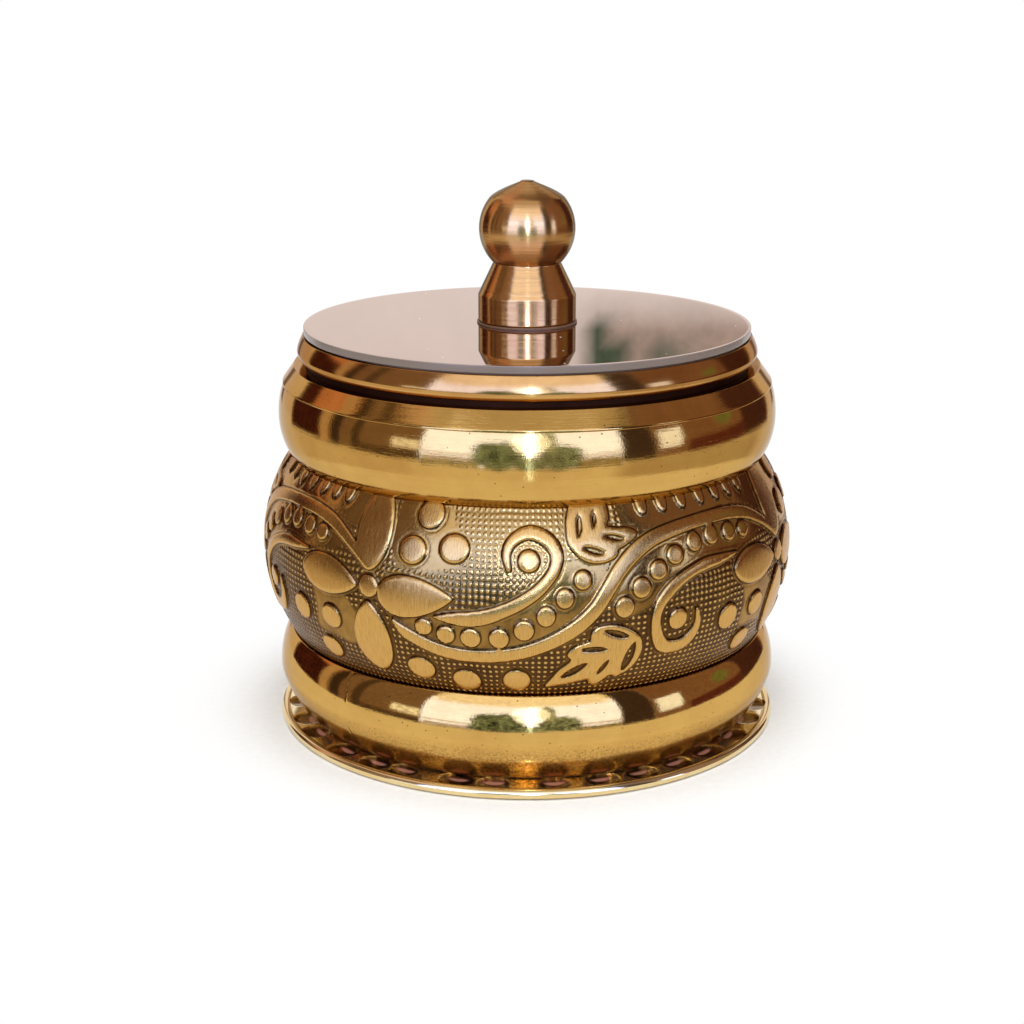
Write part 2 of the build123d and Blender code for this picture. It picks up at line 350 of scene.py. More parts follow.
def turned_brass(name, base, tarnish, rough, groove, depth, streak, pits, cloud=0.5, lacquer=0.2,
                 drift=0.03, edge="#FFFFFF", grain=0.0, worn_foot=False, punched=False):
    """Brass turned on a lathe, polished and lacquered: a mirror-like metal with fine grooves round the piece.

    The grooves are noise that is long round the piece (drift, a millimetre) and groove millimetres wide along
    its outline. They draw each light out across themselves (streak). tarnish is the warmer tone that lies on it
    in clouds about 8 mm wide, edge is the tint of its edges, and grain is the depth of its 0.3 mm orange peel.
    pits is the share of its cells that hold a pinhole of 0.2 mm. A worn foot has many more, and the peel's high
    places are brown there. In a punched piece the hollows are darker brown, and each holds a pink spot that
    is a painted reflection with little metal in it; the rim beyond them is a little deeper in tone."""
    made, tree, place = start_material(name)
    at = add(tree, "SeparateXYZ", {"Vector": place})
    skin = add(tree, "UVMap", {}, uv_map=SKIN)["UV"]
    outline = add(tree, "SeparateXYZ", {"Vector": skin})["Y"]
    ways = [("X", at["X"], drift / MM), ("Y", at["Y"], drift / MM), ("Z", outline, 1 / groove)]
    scaled = {way: add(tree, "Math", {0: part, 1: scale}, operation="MULTIPLY")[0] for way, part, scale in ways}
    grooves = add(tree, "CombineXYZ", scaled)[0]
    lines = add(tree, "TexNoise", {"Vector": grooves, "Scale": 1.0, "Detail": 3.0, "Roughness": 0.7})[0]
    clouds = add(tree, "TexNoise", {"Vector": place, "Scale": 0.12 / MM, "Detail": 4.0, "Roughness": 0.6})[0]
    patch = add(tree, "MapRange", {0: clouds, 1: 0.42, 2: 0.72, 3: 0.0, 4: cloud})[0]
    cells = add(tree, "TexVoronoi", {"Vector": place, "Scale": 1 / (PIT_CELL * MM), "Randomness": 1.0})
    hole = add(tree, "MapRange", {0: cells["Distance"], 1: 0.38, 2: 0.16, 3: 0.0, 4: 1.0})[0]
    chance = add(tree, "SeparateColor", {"Color": cells["Color"]})["Red"]
    share = add(tree, "MapRange", {
        0: at["Z"], 1: (lower_bead.bottom + WORN_TO[0]) * MM, 2: (lower_bead.bottom + WORN_TO[1]) * MM,
        3: WORN_SHARE if worn_foot else pits, 4: pits,
    })[0]
    chosen = add(tree, "Math", {0: chance, 1: share}, operation="LESS_THAN")[0]
    hollowed = add(tree, "Math", {0: hole, 1: chosen}, operation="MULTIPLY")[0]
    grit = add(tree, "TexNoise", {"Vector": place, "Scale": 3.2 / MM, "Detail": 2.0})[0]
    grain_mark = add(tree, "MapRange", {0: grit, 1: 0.45, 2: 0.57, 3: 0.0, 4: 1.0})[0]
    worn = add(tree, "Math", {0: grain_mark, 1: share}, operation="MULTIPLY")[0]
    pit = add(tree, "Math", {0: hollowed, 1: worn}, operation="MAXIMUM")[0]
    line_tone = add(tree, "MapRange", {0: lines, 1: 0.3, 2: 0.7, 3: 0.0, 4: 0.16})[0]
    metallic = 1.0
    layers = [(patch, tarnish, "MIX"), (line_tone, tarnish, "MIX"), (pit, "#6A4826", "MIX")]
    if punched:
        # The hollows are darker brown, and the pink spot in each is a painted reflection with little metal in
        # it
        hollow, bare = (add(tree, "Attribute", {}, attribute_name=name)["Fac"] for name in ("hollow", "bare"))
        dark = add(tree, "MapRange", {0: hollow, 1: 0.0, 2: 0.5, 3: 0.0, 4: 0.8})[0]
        metallic = add(tree, "MapRange", {0: bare, 3: 0.97, 4: 0.2})[0]
        flat = add(tree, "VectorMath", {0: place, 1: (1, 1, 0)}, operation="MULTIPLY")[0]
        radius = add(tree, "VectorMath", {0: flat}, operation="LENGTH")["Value"]
        outer = add(tree, "MapRange", {0: radius, 1: flange_end * MM, 2: (flange_end + 0.2) * MM})[0]
        layers += [(dark, "#5C321A", "MIX"), (bare, "#F0AA98", "MIX"), (outer, "#EFE2CC", "MULTIPLY")]
    tone = colour(base)
    for cover, shade, way in layers:
        inputs = {"Factor": cover, "A": tone, "B": colour(shade)}
        tone = add(tree, "Mix", inputs, data_type="RGBA", blend_type=way)[2]
    shine = add(tree, "MapRange", {0: lines, 1: 0.3, 2: 0.7, 3: rough * 0.75, 4: rough * 1.25})[0]
    dull = add(tree, "Math", {0: share, 1: 0.25, 2: shine}, operation="MULTIPLY_ADD")[0]
    dimmed = add(tree, "Math", {0: pit, 1: -0.8, 2: lines}, operation="MULTIPLY_ADD")[0]
    surface = add(tree, "Math", {0: grit, 1: grain / depth, 2: dimmed}, operation="MULTIPLY_ADD")[0]
    bump = add(tree, "Bump", {"Height": surface, "Strength": 1.0, "Distance": depth * MM})[0]
    tangent = add(tree, "Tangent", {}, direction_type="UV_MAP", uv_map=SKIN)[0]
    metal = add(tree, "BsdfPrincipled", {
        "Base Color": tone, "Metallic": metallic, "Roughness": dull, "Normal": bump,
        "Specular Tint": colour(edge), "Anisotropic": streak, "Anisotropic Rotation": 0.25, "Tangent": tangent,
        "Coat Weight": lacquer, "Coat Roughness": 0.06,
    })[0]
    return end_material(made, metal)


def cup_brass():
    """Brass spun into a cup, never polished: bright rings inside, near black painted shade on its outer face.

    The rings are noise over the radius and the height, about 0.5 mm apart. The painted shade, for the gap at
    the neck, begins at the wall's outer face."""
    made, tree, place = start_material("spun brass with painted shade")
    flat = add(tree, "VectorMath", {0: place, 1: (1, 1, 0)}, operation="MULTIPLY")[0]
    radius = add(tree, "VectorMath", {0: flat}, operation="LENGTH")["Value"]
    height = add(tree, "SeparateXYZ", {"Vector": place})["Z"]
    way = add(tree, "Math", {0: radius, 1: height}, operation="SUBTRACT")[0]
    rings = add(tree, "Math", {0: way, 1: 1 / (0.5 * MM)}, operation="MULTIPLY")[0]
    lines = add(tree, "TexNoise", {"W": rings, "Scale": 1.0, "Detail": 3.0}, noise_dimensions="1D")[0]
    clouds = add(tree, "TexNoise", {"Vector": place, "Scale": 0.15 / MM, "Detail": 5.0})[0]
    # The near black tone is painted shade, for the narrow gap at the neck under the lid
    bare, skin = (
        add(tree, "Mix", {"Factor": clouds, "A": colour(low), "B": colour(high)}, data_type="RGBA")[2]
        for low, high in (("#B88A4C", "#DFB874"), ("#1E0F08", "#4A2A18"))
    )
    shaded_outer_face = add(tree, "MapRange", {0: radius, 1: (cup.radius - 0.35) * MM, 2: (cup.radius - 0.15) * MM})[0]
    tone = add(tree, "Mix", {"Factor": shaded_outer_face, "A": bare, "B": skin}, data_type="RGBA")[2]
    rough = add(tree, "MapRange", {0: shaded_outer_face, 3: 0.28, 4: 0.65})[0]
    bump = add(tree, "Bump", {"Height": lines, "Strength": 1.0, "Distance": 0.006 * MM})[0]
    metal = add(tree, "BsdfPrincipled", {
        "Base Color": tone, "Metallic": 1.0, "Roughness": rough, "Normal": bump,
    })[0]
    return end_material(made, metal)


def embossed_brass():
    """Brass sheet embossed with a roller, browned all over, and wiped bright on its raised figures.

    The figures are dull gold with fine scratches up and down, about 0.1 mm apart. The ground keeps its brown
    patina, darkest in the narrow moat round each figure, and each pin dot's tip is wiped bright. Near the top
    the ground is lighter and the patina between the dots thinner, where it is rubbed and where a painted
    reflection stands for the bright light that the top faces; lower down it is darker, partly painted shade.
    A dot is the product of a wave round and a wave up, swayed by up to half a millimetre."""
    made, tree, place = start_material("patinated embossed brass")
    skin = add(tree, "UVMap", {}, uv_map=SKIN)["UV"]
    stretched = add(tree, "Mapping", {"Vector": skin, "Scale": (10.0, 0.5, 1.0)})[0]
    scratches = add(tree, "TexNoise", {"Vector": stretched, "Scale": 1.0, "Detail": 4.0, "Roughness": 0.75})[0]
    clouds = add(tree, "TexNoise", {"Vector": place, "Scale": 0.25 / MM, "Detail": 5.0, "Roughness": 0.65})[0]
    grain = add(tree, "TexNoise", {"Vector": place, "Scale": 3.5 / MM, "Detail": 2.0, "Roughness": 0.6})[0]
    height = add(tree, "SeparateXYZ", {"Vector": place})["Z"]
    gap, dotted, smooth = (
        add(tree, "Attribute", {}, attribute_name=name)["Fac"] for name in ("gap", "dotted", "smooth")
    )
    sway = add(tree, "TexNoise", {"Vector": place, "Scale": 0.3 / MM, "Detail": 1.0})["Color"]
    swayed = add(tree, "VectorMath", {0: sway, 1: (0.5, 0.5, 0.5), 2: skin}, operation="MULTIPLY_ADD")[0]
    turns = add(tree, "VectorMath", {0: swayed, "Scale": 2 * pi / DOT_PITCH}, operation="SCALE")[0]
    turns = add(tree, "SeparateXYZ", {"Vector": turns})
    waves = []
    for way in ("X", "Y"):
        crest = add(tree, "Math", {0: turns[way]}, operation="COSINE")[0]
        waves.append(add(tree, "Math", {0: crest, 1: 0.5, 2: 0.5}, operation="MULTIPLY_ADD")[0])
    wave = add(tree, "Math", {0: waves[0], 1: waves[1]}, operation="MULTIPLY")[0]
    dot = add(tree, "Math", {0: wave, 1: dotted}, operation="MULTIPLY")[0]
    raised = add(tree, "MapRange", {0: gap, 1: 0.10, 2: 0.04, 3: 0.0, 4: 1.0})[0]
    moat = add(tree, "MapRange", {0: gap, 1: 0.38, 2: 0.22, 3: 0.0, 4: 0.9})[0]
    gold_stops = [(0.30, "#A67A3A"), (0.48, "#CA9C54"), (0.75, "#D8AE64")]
    gold = add(tree, "ValToRGB", {"Fac": scratches}, stops=gold_stops)[0]
    brown_stops = [(0.35, "#4E3418"), (0.52, "#6E4C22"), (0.70, "#8E682E")]
    brown = add(tree, "ValToRGB", {"Fac": clouds}, stops=brown_stops)[0]
    # Lighter towards the top: partly rubbing, partly a painted reflection; the darker valleys lower down are
    # partly painted shade
    rubbed_and_lit_high = add(tree, "MapRange", {
        0: height, 1: (band.bottom + 10) * MM, 2: (band.bottom + 20) * MM, 3: 0.0, 4: 0.85,
    }, interpolation_type="SMOOTHSTEP")[0]
    wiped = add(tree, "MapRange", {0: clouds, 1: 0.35, 2: 0.65, 3: 0.3, 4: 0.85})[0]
    smooth_tone = add(tree, "Math", {0: smooth, 1: wiped}, operation="MULTIPLY")[0]
    grime_and_low_shade = add(tree, "MapRange", {0: rubbed_and_lit_high, 1: 0.0, 2: 0.85, 3: 0.7, 4: 0.35})[0]
    valley_patina_and_shade = add(tree, "Math", {0: dotted, 1: grime_and_low_shade}, operation="MULTIPLY")[0]
    tip = add(tree, "MapRange", {0: dot, 1: 0.35, 2: 0.75, 3: 0.0, 4: 0.95})[0]
    tone = brown
    for cover, shade in [
        (rubbed_and_lit_high, colour("#CCA45C")), (smooth_tone, colour("#A67D3E")), (valley_patina_and_shade, colour("#46301C")),
        (tip, colour("#D0A45C")), (moat, colour("#42290F")), (raised, gold),
    ]:
        tone = add(tree, "Mix", {"Factor": cover, "A": tone, "B": shade}, data_type="RGBA")[2]
    figure_rough = add(tree, "MapRange", {0: scratches, 1: 0.3, 2: 0.7, 3: 0.14, 4: 0.28})[0]
    ground_rough = add(tree, "MapRange", {0: grain, 1: 0.3, 2: 0.7, 3: 0.12, 4: 0.24})[0]
    rough = add(tree, "Mix", {"Factor": raised, "A": ground_rough, "B": figure_rough}, data_type="FLOAT")[0]
    cut = add(tree, "Math", {0: scratches, 1: raised}, operation="MULTIPLY")[0]
    fine = add(tree, "Math", {0: grain, 1: 0.8, 2: cut}, operation="MULTIPLY_ADD")[0]
    relief = add(tree, "Math", {0: dot, 1: 5.0, 2: fine}, operation="MULTIPLY_ADD")[0]
    bump = add(tree, "Bump", {"Height": relief, "Strength": 1.0, "Distance": 0.014 * MM})[0]
    metal = add(tree, "BsdfPrincipled", {
        "Base Color": tone, "Metallic": 1.0, "Roughness": rough, "Normal": bump,
        "Specular Tint": colour("#F2E8E0"),
    })[0]
    return end_material(made, metal)


def silvered_glass():
    """A cheap flat mirror: its silver shows slightly pink through the glass, and its ground edge is grey.

    A few cells of 2.2 mm hold a speck of dust."""
    made, tree, place = start_material("silvered mirror glass")
    facing = add(tree, "NewGeometry", {})["Normal"]
    level = add(tree, "SeparateXYZ", {"Vector": facing})["Z"]
    flat = add(tree, "MapRange", {0: level, 1: 0.90, 2: 0.99, 3: 0.0, 4: 1.0})[0]
    specks = add(tree, "TexVoronoi", {"Vector": place, "Scale": 1 / (2.2 * MM), "Randomness": 1.0})
    near = add(tree, "Math", {0: specks["Distance"], 1: 0.055}, operation="LESS_THAN")[0]
    chance = add(tree, "SeparateColor", {"Color": specks["Color"]})["Red"]
    chosen = add(tree, "Math", {0: chance, 1: 0.16}, operation="LESS_THAN")[0]
    dust = add(tree, "Math", {0: near, 1: chosen}, operation="MULTIPLY")[0]
    tone = colour("#8E8078")
    for cover, shade in ((flat, "#CDB7AB"), (dust, "#F4EFE8")):
        tone = add(tree, "Mix", {"Factor": cover, "A": tone, "B": colour(shade)}, data_type="RGBA")[2]
    silver = add(tree, "Math", {0: dust, 1: -0.9, 2: flat}, operation="MULTIPLY_ADD")[0]
    rough = add(tree, "MapRange", {0: flat, 1: 0.0, 2: 1.0, 3: 0.22, 4: 0.015})[0]
    dull = add(tree, "Math", {0: dust, 1: 0.5, 2: rough}, operation="MULTIPLY_ADD")[0]
    glass = add(tree, "BsdfPrincipled", {"Base Color": tone, "Metallic": silver, "Roughness": dull})[0]
    return end_material(made, glass)


def plain_finish(name, low, high, grain, metallic, rough, clear=0.0):
    """A matt or dull finish whose tone and roughness vary with a grain of that many millimetres."""
    made, tree, place = start_material(name)
    speck = add(tree, "TexNoise", {"Vector": place, "Scale": 1 / (grain * MM), "Detail": 4.0})[0]
    tone = add(tree, "Mix", {"Factor": speck, "A": colour(low), "B": colour(high)}, data_type="RGBA")[2]
    dull = add(tree, "MapRange", {0: speck, 1: 0.3, 2: 0.7, 3: rough * 0.85, 4: rough * 1.15})[0]
    bump = add(tree, "Bump", {"Height": speck, "Strength": 0.5, "Distance": 0.03 * MM})[0]
    body = add(tree, "BsdfPrincipled", {
        "Base Color": tone, "Metallic": metallic, "Roughness": dull, "Normal": bump,
        "Transmission Weight": clear,
    })[0]
    return end_material(made, body)


# Pieces


def dress(piece, node, material):
    """Put a new piece in the place of the CAD node that it stands for, with its material."""
    piece.data.materials.append(material)
    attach(piece, frame["nodes"][node]["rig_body"])
    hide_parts(node)
    return piece


# Punched dimples: each is about as wide as the foot's flange, and longer by the stretch round it.
# Each has a pink spot nearer the bead, a painted reflection, given by its half-widths round the foot and
# across.
DIMPLE_COUNT = 32
DIMPLE_WIDTH = 3.7
DIMPLE_DEPTH = 0.5
DIMPLE_RING = 33.0
DIMPLE_STRETCH = 1.22
PINK_REFLECTION_INSET = 0.75
PINK_REFLECTION_SPOT = (1.75, 0.5)
DENT_DEPTH = 0.03


def dimples(angle, radius):
    """How deep each point of the flange is sunk, from 0 to 1, and how far it lies in a dimple's painted
    reflection.

    A dimple is a bowl with a crisp rim: the root of one less the square of the distance over the half-width.
    Its pink painted reflection is an ellipse on its inner side."""
    chance = np.random.default_rng(5)
    every = 2 * pi / DIMPLE_COUNT
    places = every * (np.arange(DIMPLE_COUNT) + 0.45 + chance.uniform(-0.16, 0.16, DIMPLE_COUNT))
    rings = DIMPLE_RING + chance.uniform(-0.2, 0.2, DIMPLE_COUNT)
    widths = DIMPLE_WIDTH * chance.uniform(0.92, 1.1, DIMPLE_COUNT)
    sunk = np.zeros(np.broadcast_shapes(angle.shape, radius.shape))
    bare = sunk.copy()
    for place, ring_radius, width in zip(places, rings, widths):
        round_way = ((angle - place + pi) % (2 * pi) - pi) * ring_radius
        away = np.hypot(round_way / DIMPLE_STRETCH, radius - ring_radius) / (width / 2)
        sunk = np.maximum(sunk, np.sqrt(np.clip(1 - away**2, 0, 1)))
        # The pink spot is a painted reflection, nearer the bead
        spot = np.hypot(round_way / PINK_REFLECTION_SPOT[0], (radius - ring_radius + PINK_REFLECTION_INSET) / PINK_REFLECTION_SPOT[1])
        bare = np.maximum(bare, np.clip(2.5 - 2.5 * spot, 0, 1))
    return sunk, bare


def foot_relief(angle, along):
    """The flange's top is sunk by its dimples and long dents, and only the side it stands on is quite even."""
    height = foot_line[1:-1, 1:]
    radius = foot_line[1:-1, :1]
    flange_top = (height > FOOT_THICKNESS / 2) & (radius < foot.radius - foot.top / 2)
    dents = DENT_DEPTH * np.sin(9 * angle + 0.4) * np.sin(5 * angle + 2.0)
    uneven = np.where(height > 0.3, hand_finish(angle, along), 0)
    return uneven - np.where(flange_top, DIMPLE_DEPTH * dimples(angle, radius)[0] + dents, 0)


FOOT_THICKNESS = lower_bead.bottom
bead_inner = cup.radius + SOLDER_GAP
rim = foot.top / 2
flange_end = foot.radius - rim - np.sqrt(rim**2 - (FOOT_THICKNESS - rim) ** 2)
flange = np.linspace(flange_end - 0.12, bead_inner, 26)
foot_line = np.vstack([
    profile(
        [(0, 0), (foot.radius - rim, 0)],
        arc((foot.radius - rim, rim), (rim, rim), -90, 140),
        [(flange_end, FOOT_THICKNESS), (flange[0] + 0.02, FOOT_THICKNESS)],
        edge=0.06, step=1.5, ring=False,
    ),
    np.column_stack([flange, np.full(len(flange), FOOT_THICKNESS)]),
    [(15, FOOT_THICKNESS), (0, FOOT_THICKNESS)],
])

# Sheet brass polished on a wheel: a yellow near mirror with a few pinholes, worn and grainy at its foot
polished = turned_brass(
    "polished sheet brass", "#D6AA59", "#BC8C44", 0.06, 0.3, 0.003, 0.75, 0.02,
    drift=0.12, edge="#D8CCBC", grain=0.004, worn_foot=True,
)
# The same sheet buffed by hand: fine lines round it break its reflections up
buffed = turned_brass(
    "buffed sheet brass", "#D4A857", "#BA8842", 0.085, 0.35, 0.011, 0.5, 0.012,
    drift=0.15, edge="#D8CCBC", grain=0.006,
)
# Sheet brass punched with dimples: bright between them, darker brown in them, and a painted pink reflection in
# each
beaten = turned_brass(
    "polished punched brass", "#FFF6CC", "#F4DCA4", 0.10, 0.30, 0.001, 0.2, 0.01,
    cloud=0.7, grain=0.003, punched=True,
)
# Cast brass turned and polished: a redder gold with soft reflections
lid_brass = turned_brass(
    "polished turned brass", "#CE9E58", "#A87038", 0.14, 0.2, 0.006, 0.60, 0.004, edge="#C4B0A0", grain=0.004,
)
# Brass as the lathe's tool leaves it: each light is drawn up and down over fine rings, and there is no lacquer
lathe_brass = turned_brass(
    "lathe turned brass", "#DAA966", "#A26F3E", 0.20, 0.42, 0.034, 0.75, 0.001,
    lacquer=0.0, edge="#A4B8C8", grain=0.004,
)
# Spun brass that has tarnished under the lid: brown and dull
spun_brass = turned_brass("spun tarnished brass", "#B98C4C", "#7E562C", 0.30, 0.35, 0.005, 0.5, 0.004, 0.9, 0.0)
# Spun brass of the cup, with painted shade on its outer face where the neck lies in the gap under the lid
neck_brass_and_shade = cup_brass()
embossed = embossed_brass()
mirror_silver = silvered_glass()
# Soft clear plastic tinted brown: a dim line under the knob
clear_plastic = plain_finish("clear soft plastic", "#7A5638", "#9A7450", 0.4, 0.0, 0.5, clear=0.3)
# Set cement: matt and grey
grey_cement = plain_finish("grey mirror cement", "#6A5850", "#84726A", 0.25, 0.0, 0.85)
# Zinc plate: a dull silvery grey
zinc = plain_finish("zinc plated steel", "#A9A9AE", "#C4C4C8", 0.5, 1.0, 0.35)

foot_piece = turned("hammered_foot", foot_line, foot_relief, columns=1080, ring=False)
foot_angle = np.linspace(-pi, pi, 1080, endpoint=False)[None, :]
# The dimples' depth, and their pink spots, which are painted reflections
for name, values in zip(("hollow", "bare"), dimples(foot_angle, foot_line[1:-1, :1])):
    values = np.where(foot_line[1:-1, 1:] > FOOT_THICKNESS / 2, values, 0)
    mark(foot_piece.data, name, np.append(values, [0, 0]))
dress(foot_piece, "foot_plate", beaten)

# Cup
bore = cup.radius - CUP_WALL
cup_floor = cup.bottom + CUP_WALL
cup_line = profile(
    [(0, cup.bottom), (cup.radius, cup.bottom), (cup.radius, cup.top), (bore, cup.top)],
    arc((bore - CUP_CORNER, cup_floor + CUP_CORNER), (CUP_CORNER, CUP_CORNER), 0, -90, 12),
    [(0, cup_floor)],
    ring=False, step=1.5,
)
dress(turned("spun_cup", cup_line, ring=False), "inner_cup", neck_brass_and_shade)

# Lower bead
lower_side = bead_side(
    (bead_inner, lower_bead.bottom + LOWER_BEAD_BELOW),
    lower_bead.radius - bead_inner,
    (bead_inner, lower_bead.bottom),
    (band_side(band.bottom), lower_bead.top),
    LOWER_BEAD_PINCH,
)
SEAM_ANGLE = radians(-43.5)
SEAM_WIDTH = 0.13
SEAM_DEPTH = 0.05
BEAD_COLUMNS = 420


def lower_bead_relief(angle, along):
    """Hand polish, and the seam where the sheet's ends meet: a narrow groove that wavers a little."""
    waver = SEAM_ANGLE + 0.006 * np.sin(along * 1.3) + 0.002 * np.sin(along * 5.1)
    off = (angle - waver) * lower_bead.radius / SEAM_WIDTH
    return hand_finish(angle, along) - SEAM_DEPTH * np.exp(-(off**2))


lower_line = profile(lower_side, [(bead_inner, lower_bead.top), (bead_inner, lower_bead.bottom)], step=0.4)
near_seam = SEAM_ANGLE + np.linspace(-1, 1, 21) * 0.02
lower_piece = turned("polished_lower_bead", lower_line, lower_bead_relief, BEAD_COLUMNS, extra=near_seam)
dress(lower_piece, "lower_bead", polished)

# Upper bead, crease and shoulder
crease = (upper_bead.radius - CREASE_INSET, upper_bead.bottom + UPPER_BEAD_BELOW + UPPER_BEAD_ABOVE)
upper_side = bead_side(
    (bead_inner, upper_bead.bottom + UPPER_BEAD_BELOW),
    upper_bead.radius - bead_inner,
    (band_side(band.top), upper_bead.bottom),
    crease,
)
upper_line = profile(
    upper_side,
    [
        (crease[0] + CREASE_LEDGE[0], crease[1] + CREASE_LEDGE[1]),
        (crease[0] + SHOULDER_FOOT[0], crease[1] + CREASE_STEP + SHOULDER_FOOT[1]),
        (bead_inner + SHOULDER_LAND, upper_bead.top),
        (bead_inner, upper_bead.top),
        (bead_inner, upper_bead.bottom),
    ],
    edge=0.035, step=0.4,
)
dress(turned("polished_upper_bead", upper_line, columns=BEAD_COLUMNS), "upper_bead", buffed)

# Lid
widest = lid.bottom + LID_ROLL_HEIGHT
rise = np.linspace(0, lid.top - widest, 24)
lid_side = np.column_stack([lid.radius - LID_SIDE_DRAW * (rise / rise[-1]) ** LID_SIDE_POWER, widest + rise])
roll = (lid.radius - LID_ROLL_WIDTH, widest)
recess = collar.radius + SOLDER_GAP
lid_line = profile(
    [(SCREW_HOLE, lid.top - LID_SHEET), (recess, lid.top - LID_SHEET), (recess, lid.bottom)],
    arc(roll, (LID_ROLL_WIDTH, LID_ROLL_HEIGHT / 0.8), -53, 0, 16),
    lid_side,
    [(SCREW_HOLE, lid.top)],
    edge=0.08, step=0.7,
)
dress(turned("turned_lid", lid_line), "lid_shell", lid_brass)


def tube_line(outer, inner, extent, **finish):
    """The outline of a flat ring: up its outer side and down its bore."""
    return profile([
        (outer, extent.bottom), (outer, extent.top), (inner, extent.top), (inner, extent.bottom),
    ], **finish)


# Ring, cement, mirror and washer of the lid
collar_line = tube_line(collar.radius, collar.radius - COLLAR_SHEET, collar)
dress(turned("lid_ring", collar_line), "lid_collar", spun_brass)
cement_line = tube_line(mirror.radius - CEMENT_SQUEEZE, SCREW_HOLE, cement, edge=0.05, step=1.5)
dress(turned("cement_layer", cement_line), "mirror_cement", grey_cement)
mirror_line = tube_line(mirror.radius, SCREW_HOLE, mirror, edge=0.12, step=1.5)
dress(turned("mirror_disc", mirror_line, flawless), "mirror_glass", mirror_silver)
washer_line = tube_line(washer.radius, SCREW_HOLE, washer, edge=0.08)
dress(turned("clear_washer", washer_line), "knob_washer", clear_plastic)

# Knob
drum_top = knob.bottom + KNOB_DRUM_HEIGHT
neck = drum_top + KNOB_CONE_HEIGHT
ball_middle = neck + np.sqrt(KNOB_BALL_RADIUS**2 - KNOB_NECK_RADIUS**2)
ball_start = -np.degrees(np.arccos(KNOB_NECK_RADIUS / KNOB_BALL_RADIUS))
BALL_SOFT_FROM = 38.0
TIP_SOFT_TO = 2.2
TIP_CORNER_RUN = 1.0
nib_foot = (KNOB_NIB_RADIUS, knob.top - KNOB_NIB_HEIGHT)
soft_sine, soft_cosine = sin(radians(BALL_SOFT_FROM)), cos(radians(BALL_SOFT_FROM))
tip_corner = (
    KNOB_BALL_RADIUS * soft_cosine - TIP_CORNER_RUN * soft_sine,
    ball_middle + KNOB_BALL_RADIUS * soft_sine + TIP_CORNER_RUN * soft_cosine,
)
tip_slope = (nib_foot[1] - tip_corner[1]) / (tip_corner[0] - KNOB_NIB_RADIUS)
soft_end = (TIP_SOFT_TO, nib_foot[1] - tip_slope * (TIP_SOFT_TO - KNOB_NIB_RADIUS))
ball = arc((0, ball_middle), (KNOB_BALL_RADIUS, KNOB_BALL_RADIUS), ball_start, BALL_SOFT_FROM)
knob_line = profile(
    [
        (0, knob.bottom), (KNOB_DRUM_RADIUS - KNOB_DRUM_BEVEL, knob.bottom),
        (KNOB_DRUM_RADIUS, knob.bottom + KNOB_DRUM_BEVEL), (KNOB_DRUM_RADIUS, drum_top),
    ],
    ball,
    eased(ball[-1], tip_corner, soft_end),
    [nib_foot, (KNOB_NIB_RADIUS - KNOB_NIB_HEIGHT, knob.top), (0, knob.top)],
    edge=0.1, step=0.3, bend=4, ring=False,
)


def knob_relief(angle, along):
    """A slight unevenness that lies just under the knob's true surface."""
    return hand_finish(angle, along, 0.3) - 0.02


dress(turned("turned_knob", knob_line, knob_relief, ring=False), "knob", lathe_brass)

for node in ("knob_screw", "screw_washer"):
    materials = frame["nodes"][node].data.materials
    materials.clear()
    materials.append(zinc)


# Embossed band

REPEAT = 65.4
FIGURE_HEIGHT = 0.34
CELLS_A_DOT = 3
CROWN = 0.04
DOT_HEIGHT = 0.1
MOAT_DEPTH = 0.05
BACK_SEAM = 0.2

# How far from a figure's edge its wall ends, its crown is full, the moat falls and rises, and the dots begin
WALL = 0.26
CROWN_REACH = 0.5
MOAT_FALL = (0.1, 0.3)
MOAT_RISE = (0.4, 0.7)
DOTS_RISE = (0.32, 0.6)
FAR = 3.0

# The pattern is written in millimetres: across, along the band from the front, and up, from its widest place.
# Round figures: across, up, half-width, half-height
ROUNDS = [
    (-21.95, 2.0, 1.4, 1.35),
    (-13.9, 12.5, 1.8, 1.8), (-15.75, 7.6, 1.75, 1.7), (-9.9, 8.3, 1.9, 1.75),
    (0.0, 7.1, 1.3, 1.3), (20.4, -2.2, 1.3, 1.35),
    (-13.8, -2.3, 1.05, 1.0), (-10.8, -3.1, 1.1, 1.1), (-7.5, -3.3, 1.2, 1.2), (-3.8, -3.2, 1.15, 1.25),
    (-0.6, -2.0, 1.15, 1.25), (2.2, -0.1, 1.05, 1.2), (4.6, 2.2, 1.0, 1.15), (6.95, 4.5, 1.0, 1.1),
    (12.5, 0.5, 1.15, 1.25), (14.9, 2.8, 1.15, 1.2), (17.5, 4.8, 1.15, 1.15), (20.3, 6.4, 1.15, 1.1),
    (23.7, 7.6, 1.1, 1.15), (27.0, 7.95, 1.1, 1.15), (30.6, 7.7, 1.15, 1.1), (33.8, 7.4, 1.1, 0.95),
    (-14.9, -8.85, 1.9, 1.7), (-8.5, -10.2, 1.85, 1.75), (-1.6, -9.85, 1.75, 1.75),
    (29.7, -3.9, 1.75, 1.75), (36.4, -3.7, 1.75, 1.6), (34.8, -8.9, 1.9, 1.65),
]
# Bars under the upper bead: across, up, half-width, half-height
ROUNDS += [(across, 13.7, 0.75, 1.3) for across in (16.6, 20.0, 23.5, 27.2, 30.6, 33.7, 36.7)]

# Petals: base, tip, half-width, how round the base is, how pointed the tip is
PETALS = [
    ((-20.35, 1.2), (-9.9, 1.8), 2.65, 0.5, 0.9),
    ((-34.7, 2.5), (-24.0, 1.8), 2.5, 0.6, 0.8),
    ((-21.6, -10.4), (-22.1, -0.1), 2.9, 0.6, 0.75),
    ((-22.1, 4.2), (-22.2, 15.6), 2.75, 0.6, 0.68),
]

